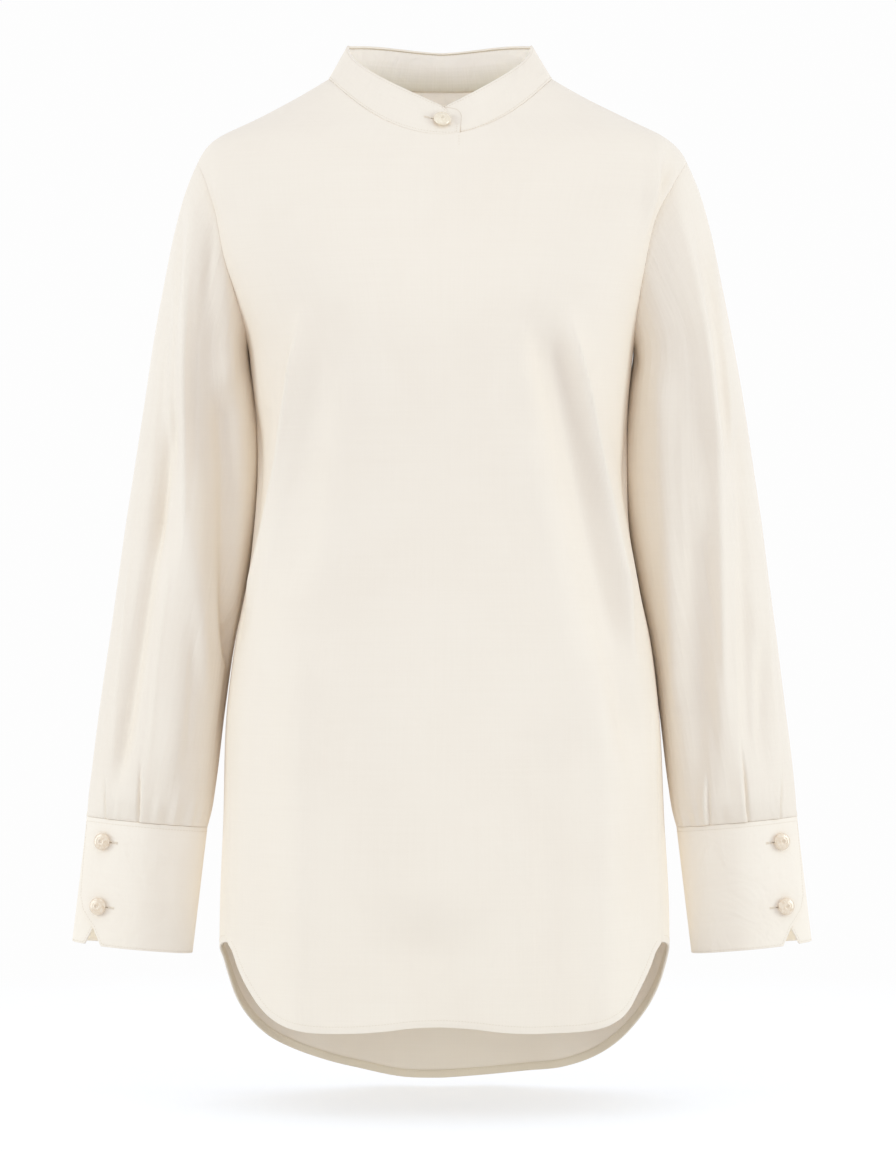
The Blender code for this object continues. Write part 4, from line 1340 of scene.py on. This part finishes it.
def sleeve_point(side, across, up):
    """across runs round the sleeve and up from the cuff, 0, to the armhole, 1."""
    turn = 360.0 * across
    cap_share = CAP_ROWS / (CAP_ROWS + ARM_ROWS)
    top = armhole_point(side, turn, smaller=SEAM_GAP)
    if up < 1.0 - cap_share:
        share = up / (1.0 - cap_share)
        height = mix(CUFF_TOP, BICEPS, mix(share, share * share, ROW_CROWDING))
        held = 0.0
    else:
        share = (up - (1.0 - cap_share)) / cap_share
        height = mix(BICEPS, top.z, share)
        held = share * share
    cuff_clear = SEAM_GAP if up == 0.0 else 0.0
    at_top = top - sleeve_ring_point(side, turn, top.z)
    lift = sleeve_lift(side, turn, height) * (1.0 - held * held)
    point = sleeve_ring_point(side, turn, height, lift)
    return point + at_top * held + Vector((0.0, 0.0, cuff_clear))


def sleeve_piece(side, word):
    place = functools.partial(sleeve_point, side)
    grid, seams = (SLEEVE_ROUND, CAP_ROWS + ARM_ROWS), rim(place, SLEEVE_RIM_STEPS)
    builder = strip(place, grid, SLEEVE_FLAT, seams, reverse=side > 0, closed=True)
    name, node = f"sleeve_{word}_cloth", f"sleeve_{word}"
    return walled(name, builder, sleeve_poplin, CLOTH, PANEL_ROUND, node)


sleeves = {side: sleeve_piece(side, word) for side, word in SIDES}

# %% [markdown]
# ## Cuffs
#
# A cuff is a stiffened band, two layers thick, that laps over its own end at the outer edge of the
# wrist. Its two lower corners are cut away on a slant, so they leave a small notch where they meet.

# %% Lay a cuff
CUFF_HEIGHT = 0.1003
CUFF_DRIFT = 0.0120
CUFF_SLOPE_LOW = 0.100
CUFF_DEPTH = 0.0225
CUFF_BOTTOM_DEPTH = 0.0235
CUFF_END_COLUMNS = ("share", "lap", "under")
CUFF_END_ROWS = (
    (0.00, 17.0, 76.0),
    (0.35, 20.0, 76.0),
    (0.62, 24.0, 72.0),
    (0.72, 31.0, 66.0),
    (0.845, 49.5, 50.5),
    (1.00, 62.0, 39.5),
)
CUFF_ROUND = 150
CUFF_ROWS_EACH = 5
CUFF_FLAT = (0.25, 0.1)
CUFF_RIM_STEPS = (500, 200)
BAND_ROUNDING = 0.0006
CUFF_BUTTON_ROWS = (("upper", 51.0, 0.18), ("lower", 55.0, 0.69))  # place, turn and share


def cuff_end(share, name):
    shares = [row[0] for row in CUFF_END_ROWS]
    turns = [row[CUFF_END_COLUMNS.index(name)] for row in CUFF_END_ROWS]
    return float(np.interp(share, shares, turns))


def cuff_on_wrist(side, turn, share):
    """A point of the cuff; share is 0 at its seam with the sleeve and 1 at its edge."""
    middle, half = sleeve_width(side, CUFF_TOP)
    lift = cuff_lap_lift(turn)
    ahead, outward = circle(turn)
    out = (half + lift) * outward
    deep = (mix(CUFF_DEPTH, CUFF_BOTTOM_DEPTH, share) + lift) * ahead
    y = sleeve_section(CUFF_TOP, "centre_y") - deep
    slope = mix(sleeve_section(CUFF_TOP, "slope"), CUFF_SLOPE_LOW, share)
    x = middle + CUFF_DRIFT * share + out
    return Vector((side * x, y, CUFF_TOP - CUFF_HEIGHT * share + slope * out))


def cuff_place(side, across, up):
    rows = [row[0] for row in CUFF_END_ROWS]
    share = float(np.interp((1.0 - up) * (len(rows) - 1), range(len(rows)), rows))
    turn = mix(cuff_end(share, "lap"), 360.0 + cuff_end(share, "under"), across)
    return cuff_on_wrist(side, turn, share)


def cuff_piece(side, word):
    place = functools.partial(cuff_place, side)
    grid = (CUFF_ROUND, CUFF_ROWS_EACH * (len(CUFF_END_ROWS) - 1))
    builder = strip(place, grid, CUFF_FLAT, rim(place, *CUFF_RIM_STEPS), reverse=side > 0)
    name, node = f"cuff_{word}_cloth", f"cuff_{word}"
    return walled(name, builder, cuff_poplin_painted_light, BAND_CLOTH, BAND_ROUNDING, node)


cuffs = {side: cuff_piece(side, word) for side, word in SIDES}

# %% [markdown]
# ## Collar band
#
# The mandarin collar is one stiffened strip that stands on the neckline and leans in a little at
# its top. The wearer's right end laps over the left one, and its top corner is rounded off.

# %% Lay the collar band
BAND_TOP_HALF_RIGHT = 0.0754
BAND_TOP_HALF_LEFT = 0.0718
BAND_TOP_SIDE = 0.0280
BAND_TOP_BACK = 0.0293
BAND_TOP_FLARE = 0.0036  # how much higher the top edge stands between its side and back
BAND_FLARE_POWER = 1.5
BAND_TOP_DROP = 0.0550
BAND_TOP_FRONT_Y = -0.0580
BAND_TOP_BACK_Y = 0.0590
BAND_GAP = 0.0001
BAND_LAP = 10.0  # degrees past the middle of the front, for the hidden end
BAND_LAP_FOOT = 9.0
BAND_LAP_TOP = 10.7
BAND_END = 360.0 + BAND_LAP_FOOT
BAND_LAP_SETTLES = 12.0
BAND_LAP_BLEND = 38.0
BAND_LAP_FALL = 0.34  # share of the band's width that the lap's top edge falls by past the middle
BAND_CORNER = 3.0
BAND_CORNER_CUT = 0.24
BAND_BUTTON_SHARE = 0.46
BAND_ROUND = 190
BAND_ROWS = 12
BAND_FLAT = (0.47, 0.03)
BAND_RIM_STEPS = (900, 60)


def band_top_point(turn):
    """The band's top edge. turn runs from the hidden end at the front, by +X and the back."""
    across, ahead = circle(turn)
    half = BAND_TOP_HALF_LEFT if across > 0 else BAND_TOP_HALF_RIGHT
    if 90.0 <= turn <= 270.0:
        flare = BAND_TOP_FLARE * abs(2.0 * across * ahead) ** BAND_FLARE_POWER
        height = mix(BAND_TOP_SIDE, BAND_TOP_BACK, ahead * ahead) + flare
        y = -BAND_TOP_BACK_Y * ahead
    else:
        from_side = (90.0 - turn if turn < 90.0 else turn - 270.0) / 90.0
        height = BAND_TOP_SIDE - BAND_TOP_DROP * from_side
        y = BAND_TOP_FRONT_Y * ahead
    return Vector((half * across, y, height))


def band_on_neck(turn, share, above=0.0):
    """A point of the band: share is 0 at its foot and 1 at its top edge, above its outer face.

    Its hidden end lies inside the lap by a wall and a little air.
    """
    foot, top = neckline_point(turned_off(turn, 0.0)), band_top_point(turn)
    up = (top - foot).normalized()
    ahead = band_top_point(min(turn + SMALL_TURN, 360.0 + BAND_LAP_TOP))
    along = ahead - band_top_point(max(turn - SMALL_TURN, -BAND_LAP))
    outward = along.cross(up).normalized()
    under = (BAND_CLOTH + LAP_GAP) * (1.0 - ease((turn - BAND_LAP_SETTLES) / BAND_LAP_BLEND))
    return mix(foot, top, share) + up * BAND_GAP * (1.0 - share) + outward * (above - under)


def lap_width(turn, lap):
    """The share of the band's width that the lap has at this turn, if it ends at the turn `lap`."""
    past_middle = clamp((turn - 360.0) / (lap - 360.0))
    into_corner = clamp(1.0 - (lap - turn) / BAND_CORNER)
    round_off = BAND_CORNER_CUT * (1.0 - math.sqrt(1.0 - into_corner**2))
    return (1.0 - BAND_LAP_FALL * past_middle) * (1.0 - round_off)


def band_place(across, up):
    lap = 360.0 + mix(BAND_LAP_FOOT, BAND_LAP_TOP, up)
    turn = mix(-BAND_LAP, lap, across)
    return band_on_neck(turn, up * lap_width(turn, lap))


def band_piece():
    seams = rim(band_place, *BAND_RIM_STEPS)
    builder = strip(band_place, (BAND_ROUND, BAND_ROWS), BAND_FLAT, seams)
    name, node = "collar_band_cloth", "collar_band"
    return walled(name, builder, ivory_band, BAND_CLOTH, BAND_ROUNDING, node)


collar = band_piece()

# %% [markdown]
# ## Hem
#
# The raw edge of a shirttail hem is turned up twice to the inside and stitched. Where the longer
# back shows below the front, its inside shows that narrow turning. It is a strip of cloth of its
# own here, laid on the inside of each panel along the hem.

# %% Turned hems
HEM_TURNING = 0.0066
HEM_FOLD = 0.0004
HEM_TURNING_WALL = 0.0005
HEM_TURNING_ROUND = 0.0002
HEM_TURNING_DEPTH = CLOTH + 0.00015  # it lies just off the inner face of the cloth
HEM_TURNING_ENDS = (0.006, 0.994)
HEM_TURNING_GRID = (220, 4)
HEM_TURNING_FLAT = (0.9, 0.007)
HEM_STEP = 0.002
HEM_RIM_STEPS = 600


def on_hem(forward, share, distance, sunk=0.0):
    """The point of the lifted cloth this far in from the hem's edge, sunk below its outer face."""
    here = hem_point(forward, share)
    ahead = hem_point(forward, min(share + HEM_STEP, 1.0))
    along = ahead - hem_point(forward, max(share - HEM_STEP, 0.0))
    inward = form_normal(here).cross(along.normalized()).normalized()
    place = on_form(here + (inward if inward.z > 0 else -inward) * distance)
    return place + form_normal(place) * (panel_lift(place, forward) - sunk)


def hem_turning(word, forward):
    def place(across, up):
        share = mix(*HEM_TURNING_ENDS, across)
        return on_hem(forward, share, mix(HEM_FOLD, HEM_TURNING, up), HEM_TURNING_DEPTH)

    seams = rim(place, HEM_RIM_STEPS)[1:]
    builder = strip(place, HEM_TURNING_GRID, HEM_TURNING_FLAT, seams, reverse=not forward)
    name = f"{word}_hem_turning"
    return walled(name, builder, hem_poplin_painted_shade, HEM_TURNING_WALL, HEM_TURNING_ROUND)


front_turning = hem_turning("front", True)
back_turning = hem_turning("back", False)

# %% [markdown]
# ## Sewing
#
# Lockstitches look like a row of small grains, each half sunk in the cloth. One grain is a small
# icosphere pulled long, and a row of them is set along a line at an even pitch. The same grain, set
# across a slit and packed close, makes a buttonhole.

# %% Rows of stitches
STITCH_PITCH = 0.0024
STITCH_LONG = 0.0018
THREAD = 0.00030
THREAD_RAISED = 0.15  # the share of its thickness by which a stitch stands out of the cloth


def grain(builder, place, along, outward, length, thick):
    """One stitch: a long small icosphere with its length along the given way."""
    side = outward.cross(along).normalized()
    axes = Matrix((along.normalized(), side, outward.normalized())).transposed().to_4x4()
    size = Matrix.Diagonal((length / 2.0, thick / 2.0, thick / 2.0, 1.0))
    bmesh.ops.create_icosphere(
        builder, subdivisions=1, radius=1.0, matrix=Matrix.Translation(place) @ axes @ size
    )


def evenly(line, pitch):
    """Points, and the way the line runs there, at an even pitch along a close row of points."""
    steps = [(second - first).length for first, second in zip(line, line[1:])]
    reach = np.concatenate([[0.0], np.cumsum(steps)])
    table = np.array(line)
    count = max(int(reach[-1] / pitch), 2)
    at = np.linspace(0.0, reach[-1], count, endpoint=False) + reach[-1] / count / 2.0

    def places(where):
        return np.stack([np.interp(where, reach, table[:, axis]) for axis in range(3)], axis=1)

    ways = places(at + pitch / 4.0) - places(at - pitch / 4.0)
    return [(Vector(place), Vector(way)) for place, way in zip(places(at), ways)]


def stitched(name, rows):
    """Rows of stitches. Each row is a close line of points, and the outward side at each point."""
    builder = bmesh.new()
    for line, outward_sides in rows:
        nearest = near_points([line])
        for place, way in evenly(line, STITCH_PITCH):
            outward = outward_sides[nearest.find(place)[1]]
            raised = place + outward * THREAD * THREAD_RAISED
            grain(builder, raised, way, outward, STITCH_LONG, THREAD)
    print(f"{name}: {len(builder.faces)} faces")
    return finished(name, builder, sewing_thread)


print("stitch pitch in mm:", STITCH_PITCH * 1000.0)

# %% [markdown]
# The hem is stitched close to the top of its turning, so that the row shows on both faces of the
# back, and on the outer face of the front.

# %% Stitch the hems
HEM_STITCH_BELOW = 0.0012  # how far below the top of the turning
HEM_STITCH_ENDS = (0.010, 0.990)
HEM_STITCH_STEPS = 700


def hem_stitches(name, forward, inside_face=False):
    sunk = HEM_TURNING_DEPTH + HEM_TURNING_WALL if inside_face else 0.0
    facing = -1.0 if inside_face else 1.0
    distance = HEM_TURNING - HEM_STITCH_BELOW
    steps = [step / HEM_STITCH_STEPS for step in range(HEM_STITCH_STEPS + 1)]
    line = [on_hem(forward, mix(*HEM_STITCH_ENDS, step), distance, sunk) for step in steps]
    return stitched(name, [(line, [form_normal(point) * facing for point in line])])


front_hem_sewing = [hem_stitches("front_hem_stitches", True)]
back_hem_sewing = [
    hem_stitches("back_hem_stitches", False),
    hem_stitches("back_hem_stitches_inside", False, inside_face=True),
]

# %% [markdown]
# The edges of collar and cuffs are stitched about two millimetres in, all the way round. A line at
# an even distance from every edge is simplest on the flat strip, so each band gets a frame of four
# lines in its own shares across and up.
#
# The collar's inner face is a thin facing of its own. It stops short of the folded top edge and of
# the foot, and a narrow painted shadow, a dark strip, lies in the ditch of each seam. One more such
# painted line marks the end of the lap. Below it a few short stitches hold the front edges together.

# %% Stitch collar and cuffs
EDGE_STITCH = 0.0020
FRAME_LONG_STEPS = 500
FRAME_SHORT_STEPS = 80
COLLAR_SIZE = (0.47, 0.031)
ACROSS_STEP = 0.004
UP_STEP = 0.020
DITCH_ABOVE = 0.00008
TOP_SHADOW_SHARES = (0.940, 0.962)
FOOT_SHADOW_SHARES = (0.000, 0.022)
FACING_WALL = 0.0003
FACING_ROUND = 0.0001
FACING_SHARES = (0.024, 0.938)
FACING_ENDS = (-BAND_LAP + 1.0, BAND_END - 2.5)
FACING_ROWS = 8
LAP_SHADOW_STOPS = 361.0
LAP_SHADOW_CROWDS = 1.5
LAP_SHADOW_BENDS = 2.5
LAP_SHADOW_TURNS = (-0.08, 0.24)  # its width beside the end of the lap
LAP_SHADOW_SHARES = (-0.002, 0.014)  # its width over the top edge of the lap
LAP_SHADOW_ROWS = 60
NECK_LINE_X = 0.0134
NECK_LINE_HEIGHTS = (-0.0518, -0.0612)
NECK_LINE_STEPS = 40


def facing_out(place, across, up):
    """The outward side of a surface laid by place(across, up)."""
    along = place(clamp(across + ACROSS_STEP), up) - place(clamp(across - ACROSS_STEP), up)
    rising = place(across, clamp(up + UP_STEP)) - place(across, clamp(up - UP_STEP))
    return along.cross(rising).normalized()


def between(low, high, steps):
    return [mix(low, high, step / steps) for step in range(steps + 1)]


def framed_stitches(name, place, size, facing):
    """A row of stitches just inside each edge of a strip of this length and height."""
    in_a, in_u = EDGE_STITCH / size[0], EDGE_STITCH / size[1]
    long_way = between(in_a, 1.0 - in_a, FRAME_LONG_STEPS)
    short_way = between(in_u, 1.0 - in_u, FRAME_SHORT_STEPS)
    runs = [[(across, up) for across in long_way] for up in (in_u, 1.0 - in_u)]
    runs += [[(across, up) for up in short_way] for across in (in_a, 1.0 - in_a)]
    rows = [
        ([place(*spot) for spot in run], [facing_out(place, *spot) * facing for spot in run])
        for run in runs
    ]
    return stitched(name, rows)


def band_inside_place(across, up):
    """The inner face of the band's facing, between its two ends."""
    turn = mix(-BAND_LAP, BAND_END, across)
    return band_on_neck(turn, up * lap_width(turn, BAND_END), -BAND_CLOTH - 2.0 * FACING_WALL)


def painted_seam_shadow(name, shares):
    """A painted shadow: a dark strip in the ditch of a seam that runs round the inner face of the
    band.
    """
    def place(across, up):
        turn = mix(-BAND_LAP, BAND_END, across)
        return band_on_neck(turn, mix(*shares, up), -BAND_CLOTH - DITCH_ABOVE)

    builder, across, up = cloth_grid(BAND_ROUND, 1, place)
    bmesh.ops.reverse_faces(builder, faces=builder.faces)
    return finished(name, builder, seam_shadow)


def lap_shadow():
    """A painted shadow: the soft dark line between the lap's end, with its rounded corner, and the
    hidden end under it.
    """
    def place(across, up):
        rising, back = min(up * 2.0, 1.0), max(up * 2.0 - 1.0, 0.0)
        lap = 360.0 + mix(BAND_LAP_FOOT, BAND_LAP_TOP, rising)
        turn = mix(lap, LAP_SHADOW_STOPS, back**LAP_SHADOW_CROWDS)
        beside = 1.0 - ease(back * LAP_SHADOW_BENDS)
        share = lap_width(turn, lap) * rising + mix(*LAP_SHADOW_SHARES, across) * (1.0 - beside)
        turn += mix(*LAP_SHADOW_TURNS, across) * beside
        return band_on_neck(turn - 360.0, share, DITCH_ABOVE)

    builder, across, up = cloth_grid(1, LAP_SHADOW_ROWS, place)
    return finished("collar_lap_painted_shadow", builder, edge_shadow)


def band_facing():
    """The inner layer of the band. It stops just short of the folded top edge."""
    def place(across, up):
        turn = mix(*FACING_ENDS, across)
        share = mix(*FACING_SHARES, up) * lap_width(turn, BAND_END)
        return band_on_neck(turn, share, -BAND_CLOTH - FACING_WALL - DITCH_ABOVE)

    seams = rim(place, BAND_RIM_STEPS[0])
    builder = strip(place, (BAND_ROUND, FACING_ROWS), BAND_FLAT, seams, reverse=True)
    return walled("collar_facing", builder, facing_poplin_painted_shade, FACING_WALL, FACING_ROUND)


def neck_line():
    """The line where the two front edges meet below the lap, held by a few short stitches."""
    heights = between(*NECK_LINE_HEIGHTS, NECK_LINE_STEPS)
    line = [body_point_across(NECK_LINE_X, height, True) for height in heights]
    outward_sides = [form_normal(point) for point in line]
    return stitched("neck_line_stitches", [(line, outward_sides)])


collar_sewing = [
    framed_stitches("collar_stitches", band_place, COLLAR_SIZE, 1.0),
    framed_stitches("collar_stitches_inside", band_inside_place, COLLAR_SIZE, -1.0),
    painted_seam_shadow("collar_top_painted_shadow", TOP_SHADOW_SHARES),
    painted_seam_shadow("collar_foot_painted_shadow", FOOT_SHADOW_SHARES),
    lap_shadow(),
    band_facing(),
]
neck_sewing = neck_line()
cuff_sewing = {
    side: framed_stitches(
        f"cuff_{word}_stitches", functools.partial(cuff_place, side), CUFF_FLAT, -side
    )
    for side, word in SIDES
}

# %% [markdown]
# ## Buttonholes
#
# A buttonhole is a slit with thread wrapped closely over both its lips and a bar across each end.
# Half of it is hidden under its button, and the other half points away from the edge of the lap.

# %% Buttonholes
HOLE_LIP = 0.00048
HOLE_STITCH = 0.0009
HOLE_PITCH = 0.00042
HOLE_OPEN = 0.70  # the share of the slit that its button holds open
HOLE_BARS = (-0.02, 1.02)
HOLE_THREAD = HOLE_PITCH * 0.9
HOLE_RAISED = 0.0001
BAR_RAISED = 0.00012
SLIT_RAISED = 0.00003
BAR_THREADS = 3
BAR_LONG = 0.0021
SLIT_GRAINS = 8
SLIT_GRAIN = 1.0 / 6.0  # the share of the open slit that one dark grain is long
SLIT_WIDE = 0.00055
SHARE_PER_DEGREE = 0.02
CUFF_HOLE = (-2.0, 15.0)  # from and to, in degrees past the button
COLLAR_HOLE = (361.0, 351.0)


def axes_at(place, turn, share, facing, reach):
    """The way along a band, the way up it and its outward side, over a reach in degrees."""
    along = (place(turn + reach, share) - place(turn - reach, share)).normalized()
    up_reach = reach * SHARE_PER_DEGREE
    rising = (place(turn, share + up_reach) - place(turn, share - up_reach)).normalized()
    return along, rising, along.cross(rising).normalized() * facing


def buttonhole(name, place, ends, up, facing):
    """place(turn, share) gives the cloth, and the slit runs from one turn to the other."""
    start, end = ends
    length = (place(start, up) - place(end, up)).length
    count = int(length / HOLE_PITCH)
    slit_long = length * HOLE_OPEN * SLIT_GRAIN
    threads, gap = bmesh.new(), bmesh.new()

    def at_slit(share):
        turn = mix(start, end, share)
        return place(turn, up), *axes_at(place, turn, up, facing, 0.5)

    for number in range(count + 1):
        at, along, rising, outward = at_slit(number / count)
        for offset in (-HOLE_LIP, HOLE_LIP):
            lip = at + rising * offset + outward * HOLE_RAISED
            grain(threads, lip, rising, outward, HOLE_STITCH, HOLE_THREAD)
    for bar in HOLE_BARS:
        at, along, rising, outward = at_slit(bar)
        for row in range(BAR_THREADS):
            beside = at + along * (row - 1) * HOLE_PITCH + outward * BAR_RAISED
            grain(threads, beside, rising, outward, BAR_LONG, HOLE_PITCH)
    # Painted shadow: dark grains along the part of the slit that the button holds open.
    for number in range(SLIT_GRAINS):
        at, along, rising, outward = at_slit((number + 0.5) / SLIT_GRAINS * HOLE_OPEN)
        grain(gap, at + outward * SLIT_RAISED, along, outward, slit_long, SLIT_WIDE)
    finished(name, threads, hole_thread)
    finished(name + "_slit", gap, slit_shadow)


for side, word in SIDES:
    on_wrist = functools.partial(cuff_on_wrist, side)
    for row, turn, share in CUFF_BUTTON_ROWS:
        ends = [turn + past for past in CUFF_HOLE]
        buttonhole(f"cuff_{word}_buttonhole_{row}", on_wrist, ends, share, side)
buttonhole("collar_buttonhole", band_on_neck, COLLAR_HOLE, BAND_BUTTON_SHARE, 1.0)
print("buttonholes:", 2 * len(CUFF_BUTTON_ROWS) + 1)

# %% [markdown]
# ## Pearl buttons
#
# Each button is a low pearl dome with a rolled rim on a short shank. It is turned from one profile,
# as on a lathe, with the spin operator, and stood on the cloth where its solid stands.

# %% Turn the buttons
BUTTON_PROFILE = (
    (0.0000, 0.00345),
    (0.0006, 0.00352),
    (0.0011, 0.00395),
    (0.0017, 0.00446),
    (0.0023, 0.00458),
    (0.0031, 0.00438),
    (0.0038, 0.00402),
    (0.0044, 0.00384),
    (0.0051, 0.00380),
    (0.0058, 0.00364),
    (0.0064, 0.00316),
    (0.0068, 0.00264),
    (0.0069, 0.00224),
    (0.0067, 0.00180),
    (0.0060, 0.00146),
    (0.0040, 0.00124),
    (0.0024, 0.00116),
    (0.0021, 0.00080),
    (0.0021, 0.00000),
    (0.0000, 0.00000),
)
BUTTON_SEAT = 0.0004
BUTTON_SIDES = 40


def pearl_button(name, node, place, turn, share, facing, material):
    """A turned button on the cloth given by place, at this turn and share."""
    builder = bmesh.new()
    corners = [builder.verts.new((radius, 0.0, height)) for radius, height in BUTTON_PROFILE]
    edges = [builder.edges.new(pair) for pair in zip(corners, corners[1:])]
    bmesh.ops.spin(
        builder, geom=corners + edges, cent=(0.0, 0.0, 0.0), axis=(0.0, 0.0, 1.0),
        angle=math.tau, steps=BUTTON_SIDES, use_merge=True, use_duplicate=False,
    )
    bmesh.ops.remove_doubles(builder, verts=builder.verts, dist=WELD)
    bmesh.ops.recalc_face_normals(builder, faces=builder.faces)
    along, rising, outward = axes_at(place, turn, share, facing, 1.0)
    upright = outward.to_track_quat("Z", "Y").to_matrix().to_4x4()
    stand = Matrix.Translation(place(turn, share) + outward * BUTTON_SEAT) @ upright
    bmesh.ops.transform(builder, matrix=stand, verts=builder.verts)
    finished(name, builder, material, node)


for side, word in SIDES:
    on_wrist = functools.partial(cuff_on_wrist, side)
    for row, turn, share in CUFF_BUTTON_ROWS:
        name, node = f"pearl_{word}_{row}", f"cuff_button_{word}_{row}"
        pearl_button(name, node, on_wrist, turn, share, side, champagne_pearl)
pearl_button(
    "pearl_collar", "collar_button", band_on_neck, 360.0, BAND_BUTTON_SHARE, 1.0, cream_pearl
)
print("five pearl buttons turned")

# %% [markdown]
# ## The cloth pieces

# %% The cloth pieces
print("cloth pieces: front, back, two sleeves, two cuffs, collar band")
